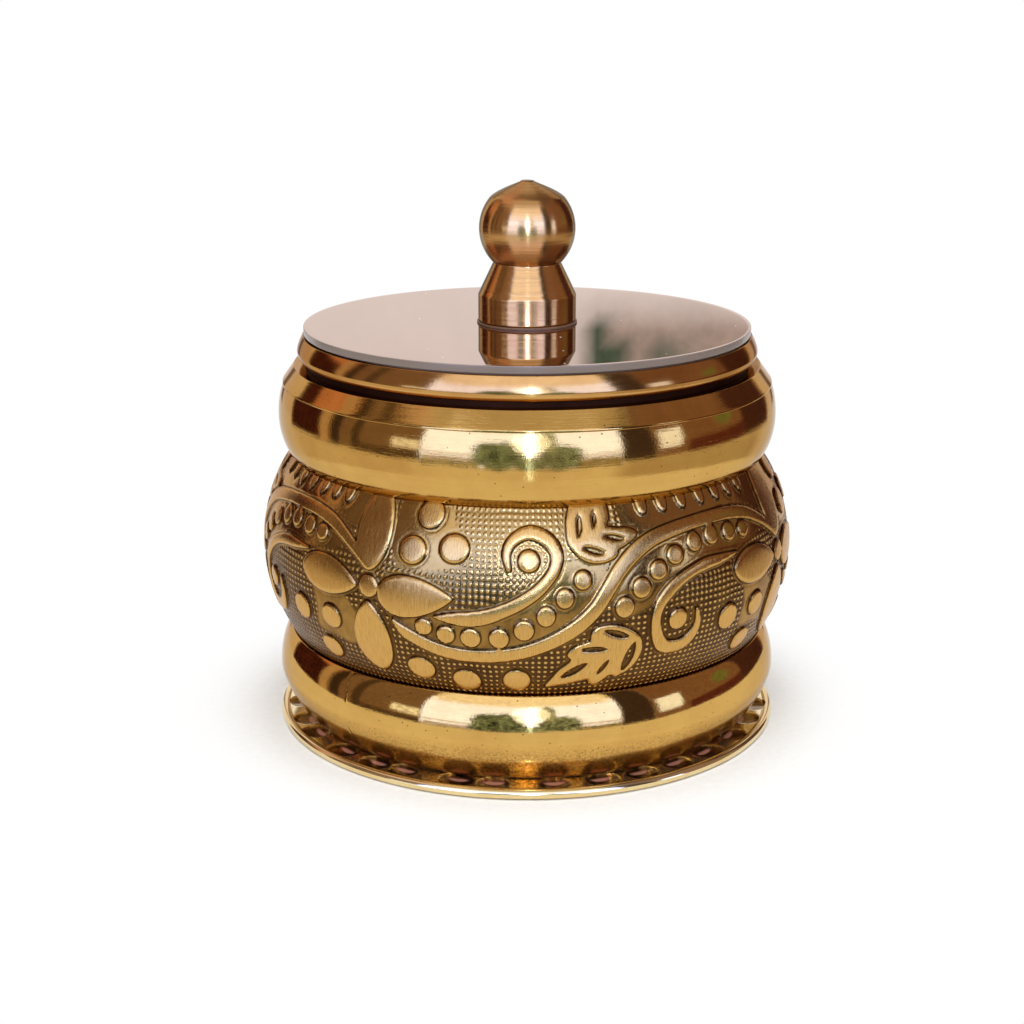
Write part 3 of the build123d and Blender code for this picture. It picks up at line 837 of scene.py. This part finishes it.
# Scrolls: across, up, half-width
SPIRAL = [
    (-2.6, 6.0, 0.2), (-2.95, 7.95, 0.45), (-2.1, 9.7, 0.6), (0.0, 10.7, 0.75), (2.3, 9.9, 0.8),
    (3.6, 8.1, 0.7), (3.4, 6.2, 0.6), (2.4, 4.6, 0.6), (0.9, 3.05, 0.65), (-1.25, 1.6, 0.7),
    (-3.5, 0.5, 0.75), (-5.6, -0.3, 0.85), (-7.8, -0.7, 0.85), (-10.0, -0.75, 0.6), (-12.2, -0.75, 0.05),
]
MAIN_SCROLL = [
    (-18.2, -2.0, 0.05), (-16.6, -3.4, 0.65), (-14.4, -4.5, 0.75), (-11.8, -5.45, 0.8), (-8.6, -5.95, 0.82),
    (-5.0, -5.9, 0.82), (-1.5, -5.35, 0.8), (1.5, -4.35, 0.8), (4.3, -2.95, 0.85), (6.7, -1.3, 0.85),
    (8.7, 0.7, 0.8), (10.2, 2.9, 0.8), (12.0, 5.4, 0.85), (14.2, 7.4, 0.9), (16.8, 8.8, 0.85), (19.5, 9.5, 0.8),
    (23.0, 10.0, 0.75), (27.0, 10.2, 0.75), (31.0, 10.1, 0.75), (35.0, 9.4, 0.75), (38.2, 8.0, 0.65),
    (41.0, 6.2, 0.5), (42.9, 4.4, 0.15),
]
LOWER_CURL = [
    (23.5, -1.4, 0.15), (23.75, -3.3, 0.4), (23.1, -4.9, 0.65), (21.9, -6.0, 0.8), (20.2, -6.3, 0.85),
    (18.5, -5.8, 0.85), (17.4, -4.1, 0.7), (17.0, -1.8, 0.55), (17.5, 0.1, 0.6), (18.7, 1.6, 0.7),
    (20.5, 2.9, 0.65), (22.75, 3.85, 0.6), (25.2, 4.4, 0.65), (28.0, 4.55, 0.5), (31.4, 4.7, 0.06),
]

# Leaves: the outline's points, and slots as petals
UPPER_LEAF = [
    (5.2, 12.0), (5.25, 9.7), (6.0, 8.2), (7.5, 6.95), (9.5, 6.6), (11.5, 7.2), (12.0, 8.2), (13.0, 8.6),
    (14.25, 9.3), (14.9, 9.95), (13.75, 10.6), (12.0, 10.8), (10.7, 11.2), (11.2, 12.6), (10.6, 14.6),
    (6.4, 14.6), (5.6, 13.4),
]
UPPER_SLOTS = [
    ((7.15, 13.0), (6.75, 9.7), 0.5, 0.8, 0.8),
    ((9.3, 13.3), (9.0, 10.9), 0.4, 0.8, 0.8),
    ((9.9, 10.0), (13.5, 9.2), 0.48, 0.8, 0.8),
    ((6.9, 8.7), (10.5, 7.5), 0.5, 0.8, 0.8),
]
LOWER_LEAF = [
    (9.5, -1.85), (10.8, -1.8), (12.2, -2.15), (13.6, -2.9), (14.75, -3.9), (15.2, -5.3), (15.0, -6.9),
    (14.25, -8.4), (13.0, -9.4), (12.2, -9.95), (11.4, -9.4), (10.6, -10.05), (9.5, -11.0), (8.6, -10.8),
    (8.1, -9.9), (6.8, -10.1), (5.2, -10.55), (3.5, -10.8), (2.4, -10.9), (3.2, -9.55), (4.2, -8.05),
    (5.7, -6.6), (5.15, -5.6), (6.2, -4.55), (8.0, -3.9), (8.2, -2.8), (8.75, -2.1),
]
LOWER_SLOTS = [
    ((9.5, -2.3), (13.6, -3.75), 0.55, 0.8, 0.8),
    ((6.4, -4.95), (10.6, -5.15), 0.5, 0.8, 0.8),
    ((14.25, -4.3), (12.85, -9.3), 0.75, 0.8, 0.8),
    ((4.1, -9.6), (8.1, -6.95), 0.6, 0.8, 0.8),
    ((10.95, -6.6), (9.2, -9.5), 0.42, 0.8, 0.8),
]

# Ground that the roller left smooth, and how far each patch is wiped bright: between the scrolls, round two
# groups of ovals, and among the bars
SMOOTH_GROUND = [
    (1.0, [
        (-18, -2), (-12, -0.8), (-6, -1.3), (-1, 0.8), (2.5, 4), (4.4, 7), (8.2, 6.6), (11, 4.4), (8, 0),
        (4, -3), (-2, -5.2), (-9, -5.8), (-15, -4.2),
    ]),
    (0.8, [
        (10.6, 2.4), (12, 5.2), (15, 7.9), (20, 9.6), (27, 10.2), (34, 9.8), (39, 7.6), (36, 5.6), (31, 4.9),
        (25, 4.6), (20.5, 3), (17.2, 0.6), (14, -0.8), (11.5, -0.6),
    ]),
    (1.0, [(32.6, 0.2), (38, 0.4), (41.2, -2.5), (40.2, -7.0), (36.5, -6.6), (33, -6.2), (33.4, -3)]),
    (1.0, [(-19.2, 14.5), (-18.6, 6), (-15, 4.9), (-10, 5.9), (-7.6, 8.6), (-9.6, 11), (-11.6, 14.5)]),
    (0.3, [
        (12.6, 14.6), (13.4, 11.2), (16, 10.2), (22, 11), (30, 11.2), (36, 10.6), (39.5, 9.4), (41.6, 11.5),
        (41.6, 14.6),
    ]),
]


def through(points, steps=6):
    """A smooth line through given points: each span is the cubic spline of its four nearest points."""
    points = np.array(points, float)
    padded = np.vstack([2 * points[0] - points[1], points, 2 * points[-1] - points[-2]])
    share = np.linspace(0, 1, steps, endpoint=False)[None, :, None]
    a, b, c, d = (padded[shift:len(points) - 1 + shift, None] for shift in range(4))
    spans = b + share / 2 * (c - a + share * (2 * a - 5 * b + 4 * c - d + share * (3 * (b - c) + d - a)))
    return np.vstack([spans.reshape(-1, points.shape[1]), points[-1:]])


def petal(base, tip, half_width, round_end, sharp_end, steps=22):
    """A petal's outline: its width goes as t^round_end (1 - t)^sharp_end from base to tip."""
    base, tip = np.array(base), np.array(tip)
    way = (tip - base) / np.hypot(*(tip - base))
    share = (1 - np.cos(np.linspace(0, pi, steps + 1))) / 2
    widest = round_end / (round_end + sharp_end)
    peak = widest**round_end * (1 - widest) ** sharp_end
    width = half_width * share**round_end * (1 - share) ** sharp_end / peak
    side = np.array([-way[1], way[0]])
    middle = base + share[:, None] * (tip - base)
    return np.vstack([middle + width[:, None] * side, (middle - width[:, None] * side)[-2:0:-1]])


def fold(at, figure):
    """Points moved by whole repeats of the pattern until they are as near the figure as they can be."""
    middle = (figure[:, 0].min() + figure[:, 0].max()) / 2
    folded = at.copy()
    folded[:, 0] = (at[:, 0] - middle + REPEAT / 2) % REPEAT - REPEAT / 2 + middle
    return folded


def to_sides(at, start, end):
    """For each point and each side from start to end: how far off the side is, and how far along it, 0 to 1."""
    side = end - start
    offset = at[:, None] - start
    share = np.clip((offset * side).sum(-1) / np.maximum((side**2).sum(-1), 1e-12), 0, 1)
    return np.hypot(*np.moveaxis(offset - share[..., None] * side, -1, 0)), share


def near(at, figure, margin=FAR):
    """Which points lie in the figure's box, widened by a margin."""
    low, high = figure[:, :2].min(0) - margin, figure[:, :2].max(0) + margin
    return ((at > low) & (at < high)).all(1)


def outline_gap(at, figure):
    """The distance from each point to a closed outline, below zero where a ray to the right crosses it an odd
    number of times."""
    at = fold(at, figure)
    gap = np.full(len(at), FAR)
    close = near(at, figure)
    start, end = figure, np.roll(figure, -1, axis=0)
    point = at[close]
    off, _ = to_sides(point, start, end)
    climb = np.where(end[:, 1] == start[:, 1], 1e-9, end[:, 1] - start[:, 1])
    level = (point[:, None, 1] - start[:, 1]) / climb
    spans = (start[:, 1] > point[:, None, 1]) != (end[:, 1] > point[:, None, 1])
    crossed = spans & (point[:, None, 0] < start[:, 0] + level * (end[:, 0] - start[:, 0]))
    gap[close] = np.where(crossed.sum(1) % 2 == 1, -1, 1) * off.min(1)
    return gap


def scroll_gap(at, scroll):
    """The distance from each point to a line with a width: to its nearest side, less the half-width there."""
    line = through(scroll)
    at = fold(at, line)
    gap = np.full(len(at), FAR)
    close = near(at, line)
    off, share = to_sides(at[close], line[:-1, :2], line[1:, :2])
    gap[close] = (off - line[:-1, 2] - share * np.diff(line[:, 2])).min(1)
    return gap


def round_gap(at, across, up, half_width, half_height):
    """The distance from each point to an upright ellipse, as if it were a circle stretched both ways."""
    at = fold(at, np.array([[across, up]]))
    offset = at - (across, up)
    stretched = np.hypot(offset[:, 0] / half_width, offset[:, 1] / half_height)
    return np.minimum((stretched - 1) * min(half_width, half_height), FAR)


def figure_gap(at):
    """The distance from each point to the nearest raised figure, below zero inside it."""
    gap = np.full(len(at), FAR)
    for leaf, slots in ((UPPER_LEAF, UPPER_SLOTS), (LOWER_LEAF, LOWER_SLOTS)):
        outline = through([*leaf, leaf[0]], 4)[:-1]
        body = outline_gap(at, outline)
        for slot in slots:
            body = np.maximum(body, -outline_gap(at, petal(*slot)))
        gap = np.minimum(gap, body)
    for shape in PETALS:
        gap = np.minimum(gap, outline_gap(at, petal(*shape)))
    for scroll in (SPIRAL, MAIN_SCROLL, LOWER_CURL):
        gap = np.minimum(gap, scroll_gap(at, scroll))
    for shape in ROUNDS:
        gap = np.minimum(gap, round_gap(at, *shape))
    return gap


def ramp(value, start, end):
    """0 before start, 1 after end, and a smooth S between them."""
    share = np.clip((value - start) / (end - start), 0, 1)
    return share * share * (3 - 2 * share)


def embossed_sheet():
    """The band's sheet: a grid of the way round and the way up its curved side, moved in and out by the relief.

    Grid points near a figure's edge are moved onto it, so that the edge is clean. The relief is a plateau in
    the figures, a wall about 0.3 mm wide, a shallow moat, and then a ground with pin dots, each the product of
    a wave round and a wave up. The sheet's ends meet in a groove at the back."""
    columns = DOTS_ROUND * CELLS_A_DOT
    girth = 2 * pi * band.radius
    cell = DOT_PITCH / CELLS_A_DOT
    middle = band.bottom + BAND_BELOW
    centre = band.radius - BAND_ARC
    low = BAND_ARC * asin((band.bottom - middle) / BAND_ARC)
    high = BAND_ARC * asin((band.top - middle) / BAND_ARC)
    rows = int(round((high - low) / cell)) + 1
    edges = np.linspace(-girth / 2, girth / 2, columns + 1)
    across, up = np.meshgrid(edges[:-1], np.linspace(low, high, rows))
    at = np.column_stack([across.ravel(), up.ravel()])
    gap = figure_gap(at).reshape(rows, columns)
    slope_up, slope_across = np.gradient(gap, up[:, 0], across[0])
    steep = np.maximum(np.hypot(slope_up, slope_across), 0.5) ** 2
    move = np.where(np.abs(gap) < cell * 0.5, -gap / steep, 0)
    move[[0, -1]] = 0
    move[:, [0, -1]] = 0
    across = across + np.clip(move * slope_across, -cell / 2, cell / 2)
    up = up + np.clip(move * slope_up, -cell / 2, cell / 2)
    at = np.column_stack([across.ravel(), up.ravel()])
    gap = figure_gap(at).reshape(rows, columns)
    smooth = np.zeros(gap.shape)
    rolled = np.ones(gap.shape)
    for share, patch in SMOOTH_GROUND:
        inside = 1 - ramp(outline_gap(at, through([*patch, patch[0]], 4)[:-1]).reshape(gap.shape), -0.3, 0.3)
        smooth = np.maximum(smooth, share * inside)
        rolled = np.minimum(rolled, 1 - inside)
    wave = (0.5 + 0.5 * np.cos(2 * pi * across / DOT_PITCH)) * (0.5 + 0.5 * np.cos(2 * pi * up / DOT_PITCH))
    dotted = ramp(gap, *DOTS_RISE) * rolled
    plateau = 1 - ramp(gap, 0, WALL)
    crown = CROWN * ramp(-gap, 0, CROWN_REACH)
    moat = ramp(gap, *MOAT_FALL) * (1 - ramp(gap, *MOAT_RISE))
    seam = np.exp(-(((girth / 2 - np.abs(across)) / BACK_SEAM) ** 2))
    lift = (FIGURE_HEIGHT - CROWN) * plateau + crown + DOT_HEIGHT * dotted * wave - MOAT_DEPTH * moat
    lift -= BACK_SEAM * seam
    out = BAND_ARC - FIGURE_HEIGHT + lift
    tilt = up / BAND_ARC
    angle = across / band.radius
    outer = np.stack([centre + out * np.cos(tilt), middle + out * np.sin(tilt)], -1)
    inner_angle = np.linspace(high, low, 9) / BAND_ARC
    inner_arc = BAND_ARC - BAND_SHEET - FIGURE_HEIGHT / 2
    inner = np.stack([centre + inner_arc * np.cos(inner_angle), middle + inner_arc * np.sin(inner_angle)], -1)
    inner[[0, -1], 1] = band.top, band.bottom
    inner = np.repeat(inner[:, None], columns, axis=1)
    outer[-1, :, 1], outer[0, :, 1] = band.top, band.bottom
    section = np.concatenate([outer, inner])
    angle = np.concatenate([angle, np.repeat(edges[None, :-1], len(inner), axis=0) / band.radius])
    points = np.stack([section[..., 0] * np.sin(angle), -section[..., 0] * np.cos(angle), section[..., 1]], -1)
    along = np.concatenate([np.linspace(low, high, rows), high + 1 + np.arange(len(inner) + 1)])
    sheet = grid_mesh("embossed_sheet", points, edges, along, ring=True)
    for name, values, rest in (("gap", gap, FAR), ("dotted", dotted, 0), ("smooth", smooth, 0)):
        mark(sheet.data, name, np.concatenate([values, np.full((len(inner), columns), rest)]))
    return sheet


dress(embossed_sheet(), "embossed_band", embossed)


# Studio

# Distances in the studio are metres. The table's paper goes over to white between the two distances given.
CENTRE = Vector((0, 0, 38 * MM))
TABLE_RADIUS = 0.105
WHITE_BETWEEN = (0.036, 0.054)
ROOM_RADIUS = 1.4
FILL = 0.45

# The room that the brass mirrors, painted in this order on a dome. Each patch is its azimuths, its elevations,
# the width of its soft edge, its tone, its brightness, and how broken up it is by leaves, folds and shadows.
ROOM = [
    ("far floor", (-180, 180), (-70, -9), 2, "#FFFDFA", 0.94, 0.0),
    ("far floor right", (42, 130), (-70, -9), 14, "#F4E8DA", 0.67, 0.0),
    ("far floor left", (-130, -55), (-70, -9), 10, "#FBF2E8", 0.84, 0.0),
    ("back wall", (135, 226), (-8, 60), 5, "#F6EAE4", 1.0, 0.02),
    ("ceiling", (-180, 180), (48, 95), 9, "#CFC8C8", 1.05, 0.03),
    ("dim ceiling left", (-170, -62), (45, 95), 12, "#D4B4B4", 1.1, 0.08),
    ("dim ceiling right", (60, 165), (45, 95), 12, "#776264", 1.0, 0.08),
    ("ceiling behind", (120, 240), (64, 95), 10, "#7A6C64", 1.0, 0.03),
    ("left wall", (-134, -47), (-10, 46), 1.5, "#8E7870", 1.0, 0.35),
    ("red curtain", (-133, -107), (-9.5, 27), 2, "#4A2628", 1.0, 1.0),
    ("lit curtain top", (-122, -99), (18, 40), 5, "#C8907A", 1.2, 0.2),
    ("pale curtain", (-106, -100), (-9.5, 38), 1.5, "#D0B8A4", 1.0, 0.2),
    ("dark frame", (-98, -92), (-9.5, 44), 1.5, "#463A34", 1.0, 0.2),
    ("second frame", (-84, -79), (-9.5, 46), 1.5, "#5A4C44", 1.0, 0.2),
    ("dark sill", (-80, -48), (-10, -3), 2, "#5F5046", 1.0, 0.6),
    ("lit leaves", (-62, -49), (0, 9), 2, "#C8D6FF", 2.2, 0.9),
    ("window", (-48, 42), (-13.5, 35), 1.2, "#93A9FF", 5.8, 0.14),
    ("window top", (-46, 40), (29, 52), 8, "#C4CCF0", 2.6, 0.3),
    ("left rail", (-47, -17), (-6.6, -4.4), 0.9, "#B08C88", 1.0, 0.8),
    ("left upper rail", (-47, -24), (-1.6, -0.2), 0.9, "#B89894", 1.3, 0.8),
    ("right rail", (18, 42), (-1.6, 0), 0.9, "#B09490", 1.2, 0.8),
    ("low hedge", (-48, -22), (-14, -7), 1.5, "#B8BCB4", 1.0, 1.3),
    ("low wall", (20, 42), (-14, -4), 1.5, "#A9A294", 1.0, 0.9),
    ("post", (42, 58), (-10, 50), 1.2, "#4C4044", 1.0, 0.3),
    ("right wall", (58, 140), (-10, 48), 1.5, "#8E7068", 1.0, 0.35),
    ("side window", (60, 72), (-2, 16), 2, "#A8BCFF", 3.6, 0.2),
    ("red chest", (76, 112), (-10, 0), 1.5, "#66383A", 1.0, 0.5),
    ("dark door", (112, 138), (-9.5, 44), 2, "#52363A", 1.0, 0.4),
    ("back frame left", (-158, -152), (-8.5, 60), 1.5, "#8C7A70", 1.0, 0.2),
    ("back frame right", (150, 156), (-8.5, 60), 1.5, "#8C7A70", 1.0, 0.2),
    ("back shelf", (140, 220), (24, 29), 3, "#B4A49A", 1.0, 0.02),
    ("garden behind", (170.5, 177.6), (10.6, 14), 1.6, "#B5A295", 1.0, 0.15),
]
# Rounded bushes: azimuth, elevation, half-width, half-height, tone, brightness, and how broken up they are
BUSHES = [
    (-13, 0, 12.5, 18, "#6C8490", 1.2, 2.8),
    (14, -2, 10, 15, "#788E9C", 1.2, 2.8),
    (1, -9, 8, 8, "#748A98", 1.2, 2.8),
    (9, 17, 4, 13, "#98ACBC", 1.4, 1.2),
    (99, 11, 6, 7, "#7E8C62", 1.0, 0.3),
    (176.9, 12.4, 0.8, 1.7, "#566450", 1.0, 0.25),
    (174.2, 13.4, 1.5, 1.6, "#7C8070", 1.0, 0.25),
]
# Lamps: name, azimuth, elevation, distance, width, height, radiance, tint, and whether it is only a glint. The
# three glints stand over one another: a bright slit, a long dim tail below it, and a soft glow round it.
LAMPS = [
    ("glint_box", 1.3, 13, 1.2, 0.046, 0.62, 30, "#B4C6FF", True),
    ("tail_box", 1.3, -8, 1.21, 0.040, 1.5, 2.8, "#98C4FF", True),
    ("glow_box", 1.3, 15, 1.19, 0.36, 0.52, 2.2, "#A8BCFF", True),
    ("overhead_box", 10, 78, 1.2, 1.35, 1.35, 2.3, "#FFFFFF", False),
    ("front_box", -15, 32, 1.2, 0.9, 0.9, 1.2, "#FFFFFF", False),
]


def towards(azimuth, elevation, distance):
    """The point at a distance from the box's centre, at an azimuth that grows to the right and an elevation."""
    across, rise = radians(azimuth), radians(elevation)
    way = Vector((sin(across) * cos(rise), -cos(across) * cos(rise), sin(rise)))
    return CENTRE + distance * way


def room_paint(azimuth, elevation):
    """The tone of the patches and bushes that cover each point of the dome, and how broken up it is.

    They are laid one over the other in turn, and a bush is an ellipse whose edge waves in and out."""
    covers = []
    for _, (left, right), (low, high), edge, *paint_of in ROOM:
        off = np.abs((azimuth - (left + right) / 2 + 180) % 360 - 180) - (right - left) / 2
        level = np.abs(elevation - (low + high) / 2) - (high - low) / 2
        fades = [1 - ramp(way, -edge / 2, edge / 2) for way in (level, off)]
        covers.append((fades[0][:, None] * fades[1][None, :], *paint_of))
    for middle, height, half_width, half_height, *paint_of in BUSHES:
        off = ((azimuth - middle + 180) % 360 - 180)[None, :] / half_width
        level = (elevation - height)[:, None] / half_height
        turn = np.arctan2(level, off)
        ragged = 1 + 0.05 * np.sin(5 * turn + middle) + 0.04 * np.sin(13 * turn) + 0.04 * np.sin(29 * turn)
        covers.append((1 - ramp(np.hypot(off, level) * ragged, 0.82, 1.06), *paint_of))
    paint = np.ones((len(elevation), len(azimuth), 3))
    broken = np.zeros(paint.shape[:2])
    for cover, tone, bright, patches in covers:
        paint += cover[..., None] * (bright * np.array(colour(tone)[:3]) - paint)
        broken += cover * (patches - broken)
    return paint, broken


def painted_room():
    """A dome round the table that only reflections show: its radius times the direction of each azimuth and
    elevation. Its paint glows, and leaves of some 40 mm swing its brightness where it is broken up."""
    azimuth = np.linspace(-180, 180, 481)
    elevation = np.linspace(-66, 90, 209)
    across, rise = np.meshgrid(np.radians(azimuth), np.radians(elevation))
    way = np.stack([np.sin(across) * np.cos(rise), -np.cos(across) * np.cos(rise), np.sin(rise)], -1)
    points = np.array(CENTRE) + ROOM_RADIUS * way
    paint, broken = room_paint(azimuth, elevation)
    index = np.arange(across.size).reshape(across.shape)
    faces = np.stack([index[:-1, :-1], index[1:, :-1], index[1:, 1:], index[:-1, 1:]], -1).reshape(-1, 4)
    mesh = bpy.data.meshes.new("painted_room")
    mesh.from_pydata(points.reshape(-1, 3).tolist(), [], faces.tolist())
    mark(mesh, "paint", np.concatenate([paint, np.ones((*across.shape, 1))], -1), "FLOAT_COLOR", "color")
    mark(mesh, "broken", broken)
    made, tree, place = start_material("painted backdrop")
    leaves = add(tree, "TexNoise", {"Vector": place, "Scale": 24.0, "Detail": 4.0, "Roughness": 0.7})[0]
    tone = add(tree, "Attribute", {}, attribute_name="paint")["Vector"]
    share = add(tree, "Attribute", {}, attribute_name="broken")["Fac"]
    swing = add(tree, "MapRange", {0: leaves, 1: 0.4, 2: 0.62, 3: -0.7, 4: 0.8})[0]
    dim = add(tree, "Math", {0: swing, 1: share, 2: 1.0}, operation="MULTIPLY_ADD")[0]
    level = add(tree, "Math", {0: dim, 1: 0.05}, operation="MAXIMUM")[0]
    lit = add(tree, "VectorMath", {0: tone, "Scale": level}, operation="SCALE")[0]
    mesh.materials.append(end_material(made, add(tree, "Emission", {"Color": lit})[0]))
    dome = in_scene("painted_room", mesh)
    dome.visible_camera = dome.visible_diffuse = dome.visible_shadow = False
    dome.visible_transmission = dome.visible_volume_scatter = False


def area_lamp(name, azimuth, elevation, distance, width, height, radiance, tint, glint):
    """An elliptical soft box that looks at the box's centre. Its power is four times its area and its radiance.

    A glint is seen in reflections only, and any other lamp is left out of them."""
    lamp = bpy.data.lights.new(name, "AREA")
    lamp.shape = "ELLIPSE"
    lamp.size = width
    lamp.size_y = height
    lamp.energy = pi * width * height * radiance
    lamp.color = colour(tint)[:3]
    box = in_scene(name, lamp)
    box.location = towards(azimuth, elevation, distance)
    box.rotation_mode = "QUATERNION"
    box.rotation_quaternion = (CENTRE - box.location).to_track_quat("-Z", "Y")
    box.visible_glossy = glint
    box.visible_diffuse = not glint


painted_room()
for lamp in LAMPS:
    area_lamp(*lamp)


def seen_directly(tree):
    """1 for a ray from the camera, or one that a mirror or a clear thing passes on, and 0 for the rest."""
    path = add(tree, "LightPath", {})
    some = add(tree, "Math", {0: path["Is Camera Ray"], 1: path["Is Glossy Ray"]}, operation="ADD")[0]
    return add(tree, "Math", {0: some, 1: path["Is Transmission Ray"]}, operation="ADD", use_clamp=True)[0]


def white_world():
    """A dim even fill, which looks white where it is seen."""
    world = bpy.data.worlds.new("studio")
    bpy.context.scene.world = world
    world.use_nodes = True
    tree = world.node_tree
    tree.nodes.clear()
    fill = add(tree, "Background", {"Color": colour("#FFFFFF"), "Strength": FILL})[0]
    white = add(tree, "Background", {"Color": colour("#FFFFFF"), "Strength": 1.0})[0]
    mixed = add(tree, "MixShader", {0: seen_directly(tree), 1: fill, 2: white})[0]
    add(tree, "OutputWorld", {"Surface": mixed})


def pale_floor():
    """A round pale table top that keeps the box's shadow near it and goes over to white at its edge."""
    angle = np.linspace(0, 2 * pi, 96, endpoint=False)
    mesh = bpy.data.meshes.new("table_top")
    points = np.column_stack([TABLE_RADIUS * np.cos(angle), TABLE_RADIUS * np.sin(angle), 0 * angle])
    mesh.from_pydata(points.tolist(), [], [list(range(len(angle)))])
    made, tree, place = start_material("white paper")
    away = add(tree, "VectorMath", {0: place}, operation="LENGTH")["Value"]
    far = add(tree, "MapRange", {
        0: away, 1: WHITE_BETWEEN[0], 2: WHITE_BETWEEN[1],
    }, interpolation_type="SMOOTHSTEP")[0]
    fibres = add(tree, "TexNoise", {"Vector": place, "Scale": 0.9 / MM, "Detail": 3.0})[0]
    tone = add(tree, "ValToRGB", {"Fac": fibres}, stops=[(0.3, "#F6F6F5"), (0.7, "#FBFBFA")])[0]
    paper = add(tree, "BsdfDiffuse", {"Color": tone})[0]
    white = add(tree, "Emission", {"Color": colour("#FFFFFF")})[0]
    share = add(tree, "Math", {0: seen_directly(tree), 1: far}, operation="MULTIPLY")[0]
    mesh.materials.append(end_material(made, add(tree, "MixShader", {0: share, 1: paper, 2: white})[0]))
    floor = in_scene("table_top", mesh)


white_world()
pale_floor()

# Camera: a little to the left of the box's axis and above it, looking down, in millimetres and degrees
CAMERA_PLACE = Vector((-2.1, -263.8, 104.06))
CAMERA_DOWN = 15.91
lens = bpy.data.cameras.new("camera")
lens.sensor_width = 36
lens.lens = 67.0
lens.clip_start = 0.01
camera = in_scene("camera", lens)
camera.location = CAMERA_PLACE * MM
camera.rotation_euler = (radians(90 - CAMERA_DOWN), 0, 0)
bpy.context.scene.camera = camera
bpy.context.scene.view_settings.view_transform = "Standard"
